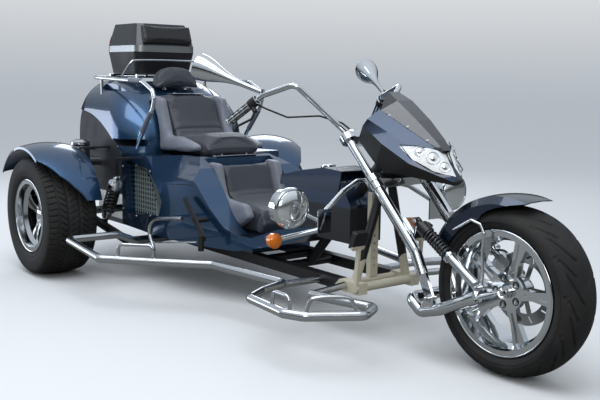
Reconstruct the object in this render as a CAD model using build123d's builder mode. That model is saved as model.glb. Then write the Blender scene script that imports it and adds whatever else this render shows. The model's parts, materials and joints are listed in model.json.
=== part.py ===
from build123d import *
from math import cos, radians, sin
import os

os.makedirs("parts", exist_ok=True)

# Driving dimensions of the trike, in millimetres: X forward, Y to the left, Z up from the ground
WHEELBASE = 2674.0
REAR_OVERHANG = 556.0
REAR_TYRE_RADIUS = 336.0
REAR_TYRE_WIDTH = 285.0
REAR_RIM_RADIUS = 203.0
REAR_WHEEL_OFFSET = 743.0
FRONT_TYRE_RADIUS = 330.0
FRONT_TYRE_WIDTH = 200.0
FRONT_RIM_RADIUS = 242.0
RAKE = 45.0
HEAD_SETBACK = 799.0
HEAD_HEIGHT = 865.0

# Clearances
SEAT_GAP = 0.3
RUNNING_FIT = 0.05
FREE_GAP = 6.0

# The origin lies under the middle of the whole length
REAR_AXLE_X = (REAR_OVERHANG - WHEELBASE - FRONT_TYRE_RADIUS) / 2
FRONT_AXLE_X = REAR_AXLE_X + WHEELBASE
HEAD_X = FRONT_AXLE_X - HEAD_SETBACK

SIDES = {"right": -1, "left": 1}


def rear(x, y, z):
    """A place measured forward from the rear axle."""
    return (REAR_AXLE_X + x, y, z)


def head(x, y, z):
    """A place measured from the middle of the upper yoke."""
    return (HEAD_X + x, y, HEAD_HEIGHT + z)


# The steering axis runs down and forward from the upper yoke
AXIS_X = sin(radians(RAKE))
AXIS_Z = -cos(radians(RAKE))


def along_fork(down, out, y=0.0):
    """A place `down` the steering axis from the upper yoke and `out` ahead of it."""
    return (HEAD_X + down * AXIS_X - out * AXIS_Z, y, HEAD_HEIGHT + down * AXIS_Z + out * AXIS_X)


def fork_plane(down, out=0.0, y=0.0):
    """A plane square to the steering axis, its own x across the trike to the left."""
    return Plane(origin=along_fork(down, out, y), x_dir=(0, 1, 0), z_dir=(AXIS_X, 0, AXIS_Z))


def side_plane(y, x=0.0, z=0.0):
    """An upright lengthwise plane whose own x is forward and whose own y is up."""
    return Plane(origin=(x, y, z), x_dir=(1, 0, 0), z_dir=(0, -1, 0))


def cross_plane(x, y=0.0, z=0.0):
    """An upright plane across the trike, its own x to the left and its own y up."""
    return Plane(origin=(x, y, z), x_dir=(0, 1, 0), z_dir=(1, 0, 0))


def between(first, second):
    """A plane at the first place that looks to the second one."""
    return Plane(origin=first, z_dir=Vector(*second) - Vector(*first))


def rod(first, second, radius, end_radius=None):
    """A straight round bar from one place to another, tapered if it has an end radius."""
    with BuildPart() as bar:
        with BuildSketch(between(first, second)):
            Circle(radius)
        if end_radius is None:
            extrude(amount=(Vector(*second) - Vector(*first)).length)
        else:
            with BuildSketch(between(first, second).offset((Vector(*second) - Vector(*first)).length)):
                Circle(end_radius)
            loft()
    return bar.part


def pipe(points, bend, radius):
    """A bent round tube with each corner rounded to its bend radius."""
    with BuildPart() as tube:
        with BuildLine() as route:
            FilletPolyline(*points, radius=bend)
        with BuildSketch(Plane(origin=route.line @ 0, z_dir=route.line % 0)):
            Circle(radius)
        sweep(path=route.line)
    return tube.part


def slab(plane, points, thickness, corner=0.0):
    """A flat plate, even on both sides of its plane, with rounded corners."""
    with BuildPart() as plate:
        with BuildSketch(plane) as outline:
            with BuildLine():
                Polyline(*points, close=True)
            make_face()
            if corner:
                fillet(outline.vertices(), corner)
        extrude(amount=thickness / 2, both=True)
    return plate.part


def disc(plane, radius, thickness, inner=0.0):
    """A round plate or ring, even on both sides of its plane."""
    with BuildPart() as plate:
        with BuildSketch(plane):
            Circle(radius)
            if inner:
                Circle(inner, mode=Mode.SUBTRACT)
        extrude(amount=thickness / 2, both=True)
    return plate.part


def block(first, last):
    """A box from its lowest to its highest corner."""
    with BuildPart() as cube:
        with Locations(tuple((a + b) / 2 for a, b in zip(first, last))):
            Box(*[b - a for a, b in zip(first, last)])
    return cube.part


def turned(x, y, z, outline):
    """A body turned about a lengthwise line through a place, from (forward, radius) corners."""
    with BuildPart() as body:
        with BuildSketch(side_plane(y, x, z)):
            with BuildLine():
                Polyline(*outline, close=True)
            make_face()
        revolve(axis=Axis((x, y, z), (1, 0, 0)))
    return body.part


def mirrored(point):
    """The same place on the other side of the trike."""
    return (point[0], -point[1], point[2])


def save(part, name):
    """Labels a finished piece and writes it."""
    part.label = name
    export_step(part, "parts/" + name + ".step")


# Tyres: one turned solid with an arched crown, chamfered shoulders and bulged walls
BEAD_HEIGHT = 16.0
BEAD_INSET = 22.0
TYRE_WALL = 34.0


def tyre_outline(radius, rim_radius, width, crown):
    """Section of a tyre, its own x across the tyre and its own y outward."""
    bead = rim_radius - BEAD_HEIGHT
    half = width / 2
    seat = half - BEAD_INSET
    shoulder = radius - crown
    edge = (half - 20, shoulder + crown * 0.45)
    wall = [
        edge, (half - 4, shoulder - 2), (half, shoulder - 24), (half - 1, rim_radius + TYRE_WALL),
        (seat, rim_radius + 5), (seat, bead), (seat - 16, bead), (half - TYRE_WALL, rim_radius + TYRE_WALL),
        (half - TYRE_WALL, radius - 30)]
    with BuildSketch() as section:
        with BuildLine():
            ThreePointArc((-edge[0], edge[1]), (0, radius), edge)
            Polyline(*wall, *[(-x, y) for x, y in reversed(wall)])
        make_face()
    return section.sketch


def spin_line(x, z):
    return Axis((x, 0, z), (0, 1, 0))


REAR_CROWN = 22.0
FRONT_CROWN = 34.0
for side, hand in SIDES.items():
    with BuildPart() as rear_tyre:
        with BuildSketch(cross_plane(REAR_AXLE_X, hand * REAR_WHEEL_OFFSET, REAR_TYRE_RADIUS)):
            add(tyre_outline(REAR_TYRE_RADIUS, REAR_RIM_RADIUS, REAR_TYRE_WIDTH, REAR_CROWN))
        revolve(axis=spin_line(REAR_AXLE_X, REAR_TYRE_RADIUS))
    save(rear_tyre.part, "rear_tyre_" + side)

with BuildPart() as front_tyre:
    with BuildSketch(cross_plane(FRONT_AXLE_X, 0, FRONT_TYRE_RADIUS)):
        add(tyre_outline(FRONT_TYRE_RADIUS, FRONT_RIM_RADIUS, FRONT_TYRE_WIDTH, FRONT_CROWN))
    revolve(axis=spin_line(FRONT_AXLE_X, FRONT_TYRE_RADIUS))
save(front_tyre.part, "front_tyre")

# Rims: a turned barrel with two lips, a hub with a bore and five forked spokes round bolt wells
FRONT_AXLE_RADIUS = 12.0
FRONT_HUB_RADIUS = 74.0
HUB_RIGHT = 38.0
HUB_LEFT = 62.0
DISC_THICKNESS = 6.0
REAR_AXLE_RADIUS = 18.0
REAR_HUB_RADIUS = 68.0
REAR_DISH = 40.0
SPOKES = 5
SPOKE_GROOVE = 6.0
BOLT_CIRCLE = 53.0
BOLT_WELL = 11.5
BOLT_HEAD = 8.0
WELL_DEPTH = 12.0
FRONT_SPOKE_TURN = 2.0


def barrel_outline(rim_radius, width):
    """Section of a rim barrel between its two lips."""
    seat = width / 2 - BEAD_INSET + SEAT_GAP
    lip = seat + 7.0
    bed = rim_radius - BEAD_HEIGHT - SEAT_GAP
    drop = bed - 20.0
    with BuildSketch() as section:
        with BuildLine():
            Polyline(
                (lip, rim_radius), (seat, rim_radius), (seat, bed), (seat - 40, bed), (seat - 55, drop),
                (-seat + 55, drop), (-seat + 40, bed), (-seat, bed), (-seat, rim_radius), (-lip,
                                                                                           rim_radius),
                (-lip, bed - 8), (-seat + 30, bed - 8), (-seat + 48, drop - 8), (seat - 48, drop - 8),
                (seat - 30, bed - 8), (lip, bed - 8), close=True)
        make_face()
    return section.sketch


def spoke_outline(start, reach, root, tip, waist, turn):
    """A ring of spokes that narrow to a waist and widen again to the barrel."""
    middle = start + (reach - start) * 0.45
    with BuildSketch() as ring:
        with PolarLocations(0, SPOKES, turn):
            Polygon((start, -root / 2), (middle, -waist / 2), (reach, -tip / 2), (reach, tip / 2),
                    (middle, waist / 2), (start, root / 2), align=None)
    return ring.sketch


def wheel_face(face_y, outward, x, z, hub_radius, reach, root, tip, waist, turn, depth):
    """Spokes and hub disc whose show face lies at face_y and looks outward."""
    plane = side_plane(face_y - outward * depth / 2, x, z)
    groove = side_plane(face_y - outward * SPOKE_GROOVE / 2, x, z)
    with BuildPart() as face:
        with BuildSketch(plane):
            Circle(hub_radius)
            add(spoke_outline(hub_radius * 0.6, reach, root, tip, waist, turn))
        extrude(amount=depth / 2, both=True)
        with BuildSketch(groove):
            add(spoke_outline(hub_radius + 8, reach + 20, 12, tip - 22, waist - 20, turn))
        extrude(amount=SPOKE_GROOVE / 2 + SEAT_GAP, both=True, mode=Mode.SUBTRACT)
        with BuildSketch(side_plane(face_y, x, z)):
            with PolarLocations(BOLT_CIRCLE, SPOKES, turn + 36):
                Circle(BOLT_WELL)
                RegularPolygon(BOLT_HEAD, 6, mode=Mode.SUBTRACT)
        extrude(amount=WELL_DEPTH, both=True, mode=Mode.SUBTRACT)
    return face.part


for side, hand in SIDES.items():
    rear_wheel_y = hand * REAR_WHEEL_OFFSET
    with BuildPart() as rear_rim:
        with BuildSketch(cross_plane(REAR_AXLE_X, rear_wheel_y, REAR_TYRE_RADIUS)):
            add(barrel_outline(REAR_RIM_RADIUS, REAR_TYRE_WIDTH))
        revolve(axis=spin_line(REAR_AXLE_X, REAR_TYRE_RADIUS))
        add(wheel_face(rear_wheel_y + hand * (REAR_DISH + 16), hand, REAR_AXLE_X, REAR_TYRE_RADIUS,
                       REAR_HUB_RADIUS, 172, 56, 74, 44, 90, 30))
        with BuildSketch(side_plane(rear_wheel_y, REAR_AXLE_X, REAR_TYRE_RADIUS)):
            Circle(REAR_AXLE_RADIUS + RUNNING_FIT)
        extrude(amount=REAR_TYRE_WIDTH, both=True, mode=Mode.SUBTRACT)
    save(rear_rim.part, "rear_rim_" + side)

with BuildPart() as front_rim:
    with BuildSketch(cross_plane(FRONT_AXLE_X, 0, FRONT_TYRE_RADIUS)):
        add(barrel_outline(FRONT_RIM_RADIUS, FRONT_TYRE_WIDTH))
    revolve(axis=spin_line(FRONT_AXLE_X, FRONT_TYRE_RADIUS))
    add(wheel_face(-HUB_RIGHT, -1, FRONT_AXLE_X, FRONT_TYRE_RADIUS, FRONT_HUB_RADIUS, 206, 52, 58, 34,
                   FRONT_SPOKE_TURN, 26))
    with BuildSketch(side_plane((HUB_LEFT - HUB_RIGHT + 20) / 2, FRONT_AXLE_X, FRONT_TYRE_RADIUS)):
        Circle(44)
    extrude(amount=(HUB_LEFT + HUB_RIGHT - 20) / 2, both=True)
    with BuildSketch(side_plane(0, FRONT_AXLE_X, FRONT_TYRE_RADIUS)):
        Circle(FRONT_AXLE_RADIUS + RUNNING_FIT)
    extrude(amount=FRONT_TYRE_WIDTH, both=True, mode=Mode.SUBTRACT)
save(front_rim.part, "front_rim")

# Brake disc on the left face of the front hub: a slotted ring on a carrier of five arms
DISC_RADIUS = 146.0
DISC_INNER = 100.0
with BuildPart() as brake_disc:
    with BuildSketch(side_plane(HUB_LEFT + DISC_THICKNESS / 2, FRONT_AXLE_X, FRONT_TYRE_RADIUS)):
        Circle(DISC_RADIUS)
        with PolarLocations((DISC_RADIUS + DISC_INNER) / 2, 10):
            SlotOverall(32, 7, rotation=20, mode=Mode.SUBTRACT)
        Circle(DISC_INNER, mode=Mode.SUBTRACT)
        with PolarLocations(72, SPOKES):
            SlotOverall(66, 18)
        Circle(46)
        Circle(FRONT_AXLE_RADIUS + RUNNING_FIT, mode=Mode.SUBTRACT)
    extrude(amount=DISC_THICKNESS / 2, both=True)
save(brake_disc.part, "brake_disc")

# Fork: stem, two yokes, two kneed legs that end in blades, pivot pins and shock gussets
LEG_SPREAD = 155.0
LOWER_YOKE = 234.0
LEG_RADIUS = 24.0
UPPER_LEG_RADIUS = 19.0
STEM_RADIUS = 14.0
HEAD_TUBE_RADIUS = 30.0
YOKE_THICKNESS = 30.0
YOKE_EYE = 36.0
LEG_KNEE = 600.0
PIVOT_DOWN = 790.0
PIVOT_OUT = -62.0
PIVOT_RADIUS = 9.0
BLADE = 12.0
BLADE_HALF_WIDTH = 20.0
LUG = 8.0
SHOCK_SPREAD = 138.0
SHOCK_EYE_DOWN = 505.0
SHOCK_EYE_OUT = 74.0
EYE_HOLE = 6.0
EYE_PLATE = 8.0
EYE_RADIUS = 14.0
CLEVIS_WIDTH = 24.0

pivot = Vector(*along_fork(PIVOT_DOWN, PIVOT_OUT))
knee = Vector(*along_fork(LEG_KNEE, 0))
blade_way = (pivot - knee).normalized()
blade_side = Vector(-blade_way.Z, 0, blade_way.X)
blade_length = (pivot - knee).length
pin_half = BLADE / 2 + 2 * SEAT_GAP + LUG
upper_eye = Vector(*along_fork(SHOCK_EYE_DOWN, SHOCK_EYE_OUT))


def flat(vector):
    """The forward and upward parts of a place, for a side plane through the origin."""
    return (vector.X, vector.Z)


with BuildPart() as fork:
    for station in (0.0, LOWER_YOKE):
        with BuildSketch(fork_plane(station)):
            with BuildLine():
                Polyline((-LEG_SPREAD, YOKE_EYE - 2), (-60, 22), (60, 22), (LEG_SPREAD, YOKE_EYE - 2),
                         (LEG_SPREAD, -YOKE_EYE + 2), (60, -38), (-60, -38), (-LEG_SPREAD, -YOKE_EYE + 2),
                         close=True)
            make_face()
            with Locations((-LEG_SPREAD, 0), (LEG_SPREAD, 0)):
                Circle(YOKE_EYE)
        extrude(amount=YOKE_THICKNESS / 2, both=True)
    add(rod(along_fork(-30, 0), along_fork(LOWER_YOKE + 20, 0), STEM_RADIUS))
    for hand in (-1, 1):
        leg_y = hand * LEG_SPREAD
        add(rod(along_fork(-24, 0, leg_y), along_fork(LOWER_YOKE, 0, leg_y), UPPER_LEG_RADIUS))
        add(rod(along_fork(LOWER_YOKE + 15, 0, leg_y), along_fork(LOWER_YOKE + 50, 0, leg_y),
                LEG_RADIUS + 6))
        toe = knee + blade_way * blade_length * 0.5
        add(pipe([along_fork(LOWER_YOKE, 0, leg_y), along_fork(LEG_KNEE, 0, leg_y), (toe.X, leg_y, toe.Z)],
                 60,
                 LEG_RADIUS))
        with BuildSketch(side_plane(leg_y)):
            with BuildLine():
                Polyline(flat(toe - blade_way * 50 - blade_side * LEG_RADIUS),
                         flat(pivot - blade_side * BLADE_HALF_WIDTH),
                         flat(pivot + blade_side * BLADE_HALF_WIDTH),
                         flat(toe - blade_way * 50 + blade_side * LEG_RADIUS), close=True)
            make_face()
            with Locations(flat(pivot)):
                Circle(BLADE_HALF_WIDTH)
        extrude(amount=BLADE / 2, both=True)
        add(rod((pivot.X, leg_y - pin_half, pivot.Z), (pivot.X, leg_y + pin_half, pivot.Z), PIVOT_RADIUS))
        for end in (-1, 1):
            add(disc(side_plane(leg_y + end * (pin_half + 4), pivot.X, pivot.Z), PIVOT_RADIUS + 6, 8))
        gusset_y = hand * SHOCK_SPREAD
        gusset_high = Vector(*along_fork(SHOCK_EYE_DOWN - 62, 14))
        gusset_low = Vector(*along_fork(SHOCK_EYE_DOWN + 40, 14))
        with BuildSketch(side_plane(gusset_y)):
            with Locations(flat(upper_eye)):
                Circle(EYE_RADIUS)
            with BuildLine():
                Polyline(flat(gusset_high), flat(gusset_low), flat(upper_eye + Vector(-4, 0, -12)),
                         flat(upper_eye + Vector(2, 0, 13)), close=True)
            make_face()
            with Locations(flat(upper_eye)):
                Circle(EYE_HOLE + SEAT_GAP, mode=Mode.SUBTRACT)
        extrude(amount=EYE_PLATE / 2, both=True)
save(fork.part, "fork")

# Leading arm: a loop behind the wheel, clevis lugs at the pivots, clamps with shock lugs and axle eyes
ARM_RADIUS = 24.0
ARM_END_SPREAD = 130.0
CLAMP_RADIUS = 29.0
CLAMP_HALF = 18.0
EYE_BOSS = 26.0
EYE_THICKNESS = 12.0
SHOCK_FOOT_BACK = 64.0
SHOCK_FOOT_RISE = 16.0
CALIPER_HALF = 22.0
CAP_RADIUS = 24.0
arm_side = [(-85, ARM_END_SPREAD, -30), (-235, 150, -104), (-330, LEG_SPREAD, -132),
            (-398, LEG_SPREAD - 5, -90)]
arm_places = [Vector(FRONT_AXLE_X + x, -y, FRONT_TYRE_RADIUS + z) for x, y, z in arm_side]
clamp = arm_places[0]
clamp_way = (arm_places[0] - arm_places[1]).normalized()
shock_foot = Vector(FRONT_AXLE_X - SHOCK_FOOT_BACK, -ARM_END_SPREAD, FRONT_TYRE_RADIUS + SHOCK_FOOT_RISE)
eye_inner = {-1: HUB_RIGHT + 2.0, 1: HUB_LEFT + DISC_THICKNESS + 6.0}
lug_shift = BLADE / 2 + SEAT_GAP + LUG / 2
with BuildPart() as swing_arm:
    right_side = [tuple(place) for place in arm_places]
    left_side = [mirrored(place) for place in reversed(right_side)]
    add(pipe(right_side + left_side, 30, ARM_RADIUS))
    for hand in (-1, 1):
        clamp_here = Vector(clamp.X, hand * ARM_END_SPREAD, clamp.Z)
        way_here = Vector(clamp_way.X, -hand * clamp_way.Y, clamp_way.Z)
        add(rod(tuple(clamp_here - way_here * CLAMP_HALF), tuple(clamp_here + way_here * CLAMP_HALF),
                CLAMP_RADIUS))
        eye_y = hand * (eye_inner[hand] + EYE_THICKNESS / 2)
        add(disc(side_plane(eye_y, FRONT_AXLE_X, FRONT_TYRE_RADIUS), EYE_BOSS, EYE_THICKNESS))
        add(rod(tuple(clamp_here), (FRONT_AXLE_X - EYE_BOSS + 2, eye_y, FRONT_TYRE_RADIUS - 4), 17, 7))
        for across in (-lug_shift, lug_shift):
            with BuildSketch(side_plane(hand * LEG_SPREAD + across, pivot.X, pivot.Z)):
                Circle(18)
                with BuildLine():
                    Polyline((-18, 0), (18, 0), (34, -42), (-34, -46), close=True)
                make_face()
            extrude(amount=LUG / 2, both=True)
        with BuildSketch(side_plane(hand * ARM_END_SPREAD)):
            with Locations(flat(shock_foot)):
                Circle(EYE_RADIUS)
            with BuildLine():
                Polyline(flat(shock_foot + Vector(-8, 0, 2)), flat(shock_foot + Vector(14, 0, -4)),
                         flat(clamp + Vector(16, 0, 10)), flat(clamp + Vector(-14, 0, 10)), close=True)
            make_face()
            with Locations(flat(shock_foot)):
                Circle(EYE_HOLE + SEAT_GAP, mode=Mode.SUBTRACT)
        extrude(amount=EYE_PLATE / 2, both=True)
    for hand in (-1, 1):
        outer_face = eye_inner[hand] + EYE_THICKNESS
        add(disc(side_plane(hand * (outer_face + 20), FRONT_AXLE_X, FRONT_TYRE_RADIUS),
                 CAP_RADIUS + SEAT_GAP, 40),
            mode=Mode.SUBTRACT)
    boss_face = HUB_LEFT + DISC_THICKNESS / 2 + CALIPER_HALF + 8 + SEAT_GAP
    add(rod((FRONT_AXLE_X - 95, ARM_END_SPREAD, FRONT_TYRE_RADIUS - 26),
            (FRONT_AXLE_X - 95, boss_face, FRONT_TYRE_RADIUS - 26), 10))
    with BuildSketch(side_plane(0)):
        with Locations(flat(pivot)):
            Circle(PIVOT_RADIUS + SEAT_GAP)
        with Locations((FRONT_AXLE_X, FRONT_TYRE_RADIUS)):
            Circle(FRONT_AXLE_RADIUS + SEAT_GAP)
    extrude(amount=LEG_SPREAD + 60, both=True, mode=Mode.SUBTRACT)
save(swing_arm.part, "swing_arm")

# Shock absorbers: a damper with a clevis at each end and two seats, and a wound spring between the seats
SPRING_SEAT = 10.0


def clevis(eye, way, y):
    """Two ears and their pin round an eye plate, with a neck that runs the given way."""
    neck = flat(way * (EYE_RADIUS + 6))
    across = Vector(-way.Z, 0, way.X) * EYE_RADIUS
    with BuildPart() as ears:
        with BuildSketch(side_plane(y, eye.X, eye.Z)):
            Circle(EYE_RADIUS)
            with BuildLine():
                Polyline(flat(across), flat(across * 0.9 + way * (EYE_RADIUS + 6)),
                         flat(way * (EYE_RADIUS + 6) - across * 0.9), flat(-across), close=True)
            make_face()
        extrude(amount=CLEVIS_WIDTH / 2, both=True)
        with BuildSketch(side_plane(y, eye.X, eye.Z)):
            Circle(EYE_RADIUS + 2)
        extrude(amount=EYE_PLATE / 2 + SEAT_GAP, both=True, mode=Mode.SUBTRACT)
        add(disc(side_plane(y, eye.X, eye.Z), EYE_HOLE, CLEVIS_WIDTH))
    return ears.part


def damper(top, foot, radius, cap, spring_from, spring_to):
    """A damper between two eyes: measured down from the top eye, its cap, spring seats and body."""
    way = (foot - top).normalized()
    flat_way = Vector(way.X, 0, way.Z).normalized()
    neck = EYE_RADIUS + 3
    length = (foot - top).length
    line = Plane(origin=tuple(top), z_dir=way)
    with BuildPart() as body:
        add(clevis(top, flat_way, top.Y))
        add(clevis(foot, -flat_way, foot.Y))
        for start, stop, size in ((neck, cap, radius * 0.6), (cap, spring_from, radius + 1),
                                  (spring_from, spring_to, radius * 0.55), (spring_to,
                                                                            spring_to + SPRING_SEAT, radius + 1),
                                  (spring_to + SPRING_SEAT, length - neck, radius * 0.72)):
            with BuildSketch(line.offset(start)):
                Circle(size)
            extrude(amount=stop - start)
    return body.part


def coil(top, foot, radius, wire, spring_from, spring_to, turns):
    """The wound spring of a damper, clear of its two seats."""
    way = (foot - top).normalized()
    start = top + way * (spring_from + wire + SEAT_GAP)
    height = spring_to - spring_from - 2 * (wire + SEAT_GAP)
    with BuildPart() as spring:
        with BuildLine() as winding:
            Helix(pitch=height / turns, height=height, radius=radius - wire, center=tuple(start),
                  direction=tuple(way))
        with BuildSketch(Plane(origin=winding.line @ 0, z_dir=winding.line % 0)):
            Circle(wire)
        sweep(path=winding.line, is_frenet=True)
    return spring.part


FRONT_SPRING = 27.0
FRONT_WIRE = 4.5
FRONT_COILS = 8
FRONT_CAP = 34.0
FRONT_SPRING_FROM = 80.0
FRONT_SPRING_TO = 212.0
shock_ends = [(Vector(upper_eye.X, hand * SHOCK_SPREAD, upper_eye.Z),
               Vector(shock_foot.X, hand * ARM_END_SPREAD, shock_foot.Z))
              for hand in (-1, 1)]
with BuildPart() as front_shocks:
    for top, foot in shock_ends:
        add(damper(top, foot, FRONT_SPRING, FRONT_CAP, FRONT_SPRING_FROM, FRONT_SPRING_TO))
save(front_shocks.part, "front_shocks")
with BuildPart() as front_springs:
    for top, foot in shock_ends:
        add(coil(top, foot, FRONT_SPRING, FRONT_WIRE, FRONT_SPRING_FROM, FRONT_SPRING_TO, FRONT_COILS))
save(front_springs.part, "front_springs")

# Front axle with its end caps, and spacers between the hub and the arm's end pieces
CAP_THICKNESS = 12.0
with BuildPart() as front_axle:
    ends = [-(eye_inner[-1] + EYE_THICKNESS + SEAT_GAP), eye_inner[1] + EYE_THICKNESS + SEAT_GAP]
    add(rod((FRONT_AXLE_X, ends[0] - 4, FRONT_TYRE_RADIUS), (FRONT_AXLE_X, ends[1] + 4, FRONT_TYRE_RADIUS),
            FRONT_AXLE_RADIUS))
    for end, hand, hub_face in ((ends[0], -1, HUB_RIGHT), (ends[1], 1, HUB_LEFT + DISC_THICKNESS)):
        add(disc(side_plane(end + hand * CAP_THICKNESS / 2, FRONT_AXLE_X, FRONT_TYRE_RADIUS), CAP_RADIUS,
                 CAP_THICKNESS))
        spacer = eye_inner[hand] - hub_face - 2 * SEAT_GAP
        add(disc(side_plane(hand * (hub_face + SEAT_GAP + spacer / 2), FRONT_AXLE_X, FRONT_TYRE_RADIUS),
                 FRONT_AXLE_RADIUS + 8, spacer))
save(front_axle.part, "front_axle")

# Brake caliper on the left end of the arm, its jaws on both sides of the disc
CALIPER_GAP = 2.5
CALIPER_TURN = 152
with BuildPart() as brake_caliper:
    disc_middle = HUB_LEFT + DISC_THICKNESS / 2
    arc = [(98, 60), (142, 62), (164, 40), (164, -40), (142, -62), (98, -60)]
    with BuildSketch(side_plane(disc_middle, FRONT_AXLE_X, FRONT_TYRE_RADIUS)):
        with Locations(Rotation(0, 0, CALIPER_TURN)):
            Polygon(*arc, align=None)
    extrude(amount=CALIPER_HALF, both=True)
    add(disc(side_plane(disc_middle, FRONT_AXLE_X, FRONT_TYRE_RADIUS), DISC_RADIUS + 4,
             DISC_THICKNESS + 2 * CALIPER_GAP),
        mode=Mode.SUBTRACT)
    add(slab(side_plane(disc_middle + CALIPER_HALF + 3.5, FRONT_AXLE_X, FRONT_TYRE_RADIUS),
             [(-150, 50), (-102, 50), (-78, -10), (-78, -40), (-112, -40), (-146, -16)], 9))
save(brake_caliper.part, "brake_caliper")

# Front mudguard: a turned arc whose skirts are deep behind the axle and shallow ahead of it
GUARD_RADIUS = 374.0
GUARD_THICKNESS = 4.0
GUARD_HALF_WIDTH = 106.0
GUARD_FRONT = 74.0
GUARD_REAR = 158.0
GUARD_SKIRT = 290.0


def guard_outline(edge, skirt, wall):
    """Half section of a mudguard: its outer line for wall 0, its inner line for a wall thickness."""
    return [(edge - wall, skirt), (edge - wall, GUARD_RADIUS - 34 - wall * 0.4),
            (edge - 26 - wall * 0.4, GUARD_RADIUS - 6 - wall)]


with BuildPart() as front_fender:
    with BuildSketch(cross_plane(FRONT_AXLE_X, 0, FRONT_TYRE_RADIUS)):
        with BuildLine():
            outer = guard_outline(GUARD_HALF_WIDTH, GUARD_SKIRT, 0)
            inner = guard_outline(GUARD_HALF_WIDTH, GUARD_SKIRT, GUARD_THICKNESS)
            ThreePointArc((-outer[2][0], outer[2][1]), (0, GUARD_RADIUS), outer[2])
            Polyline(outer[2], outer[1], outer[0], inner[0], inner[1], inner[2])
            ThreePointArc(inner[2], (0, GUARD_RADIUS - GUARD_THICKNESS), (-inner[2][0], inner[2][1]))
            Polyline(*[(-x, y) for x, y in (inner[2], inner[1], inner[0], outer[0], outer[1], outer[2])])
        make_face()
    revolve(axis=spin_line(FRONT_AXLE_X, FRONT_TYRE_RADIUS), revolution_arc=GUARD_REAR - GUARD_FRONT)
guard_arc = front_fender.part.rotate(spin_line(FRONT_AXLE_X, FRONT_TYRE_RADIUS), -(GUARD_REAR - 90))
with BuildPart() as front_fender:
    add(guard_arc)
    with BuildSketch(side_plane(0, FRONT_AXLE_X, FRONT_TYRE_RADIUS)):
        with BuildLine():
            Polyline((-104, 100), (-104, 250), (-86, 291), (-58, 310), (-15, 327), (41, 342), (108, 354),
                     (300, 363),
                     (300, 100), close=True)
        make_face()
    extrude(amount=GUARD_HALF_WIDTH + 10, both=True, mode=Mode.SUBTRACT)
save(front_fender.part, "front_fender")

# Hooked wire stays between the mudguard and the feet of the dampers
STAY_WIRE = 6.0
stay_low = SHOCK_SPREAD - 8 - CLEVIS_WIDTH / 2 - SEAT_GAP - STAY_WIRE
stay_high = GUARD_HALF_WIDTH + SEAT_GAP + STAY_WIRE
with BuildPart() as front_stays:
    for hand in (-1, 1):
        add(pipe([(FRONT_AXLE_X + x, hand * y, FRONT_TYRE_RADIUS + z) for x, y, z in
                  ((-SHOCK_FOOT_BACK, stay_low, SHOCK_FOOT_RISE), (-58, stay_low, 64),
                   (-66, stay_high, 160),
                   (-60, stay_high, 224), (-80, stay_high, 256), (-128, stay_high, 267), (-212, stay_high,
                                                                                          217))],
                 11, STAY_WIRE))
save(front_stays.part, "front_stays")

# Handlebar: one bent tube, clamped on two risers
BAR_RADIUS = 12.5
GRIP_RADIUS = 19.0
GRIP_SHARE = 0.62
bar_middle = along_fork(-55, -40)
bar_bend = Vector(*head(-342, -371, 178))
bar_end = Vector(*head(-486, -449, 58))
bar_way = (bar_bend - bar_end).normalized()
bar_reach = (bar_bend - bar_end).length
grip_start = bar_end + bar_way * bar_reach * GRIP_SHARE
with BuildPart() as handlebar:
    right_bar = [(bar_middle[0], -95, bar_middle[2]), head(-135, -215, 135), head(-173, -320, 231),
                 tuple(bar_bend),
                 tuple(bar_end)]
    add(pipe([mirrored(point) for point in reversed(right_bar)] + right_bar, 38, BAR_RADIUS))
    for y in (-60, 60):
        add(rod(along_fork(-YOKE_THICKNESS / 2 - SEAT_GAP, -18, y), along_fork(-55, -40, y), 17))
        add(disc(side_plane(y, bar_middle[0], bar_middle[2]), 25, 32))
    add(fork.part, mode=Mode.SUBTRACT)
save(handlebar.part, "handlebar")

# Grips, slipped over the bar ends, with ring ribs
with BuildPart() as grips:
    for hand in (1, -1):
        first = Vector(grip_start.X, hand * grip_start.Y, grip_start.Z)
        last = Vector(bar_end.X, hand * bar_end.Y, bar_end.Z)
        way = (last - first).normalized()
        add(rod(tuple(first), tuple(last + way * 6), GRIP_RADIUS - 2))
        for share in (0.0, 0.28, 0.52, 0.76):
            start = first + (last - first) * share
            add(rod(tuple(start), tuple(start + way * 14), GRIP_RADIUS))
        add(rod(tuple(first), tuple(last), BAR_RADIUS + SEAT_GAP), mode=Mode.SUBTRACT)
save(grips.part, "grips")

# Switch housings inboard of the grips, each with its finger lever
HOUSING_LENGTH = 40.0
HOUSING_RADIUS = 23.0
with BuildPart() as switchgear:
    for hand in (1, -1):
        start = Vector(grip_start.X, hand * grip_start.Y, grip_start.Z)
        way = Vector(bar_way.X, hand * bar_way.Y, bar_way.Z)
        first = start + way * SEAT_GAP
        last = first + way * HOUSING_LENGTH
        ahead = Vector(0.64, 0, -0.77)
        add(rod(tuple(first), tuple(last), HOUSING_RADIUS))
        add(rod(tuple(first + way * 10 + ahead * 10), tuple(first + way * 10 + ahead * 44), 11))
        tip = start - way * bar_reach * GRIP_SHARE * 0.86
        add(pipe([tuple(first + way * 10 + ahead * 40), tuple(start - way * 20 + ahead * 62),
                  tuple(tip + ahead * 44)],
                 20, 5.5))
        add(rod(tuple(first - way * 8), tuple(last + way * 8), BAR_RADIUS + SEAT_GAP), mode=Mode.SUBTRACT)
        add(rod(tuple(first - way * 60), tuple(first - way * SEAT_GAP), GRIP_RADIUS + 4),
            mode=Mode.SUBTRACT)
save(switchgear.part, "switchgear")

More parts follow.
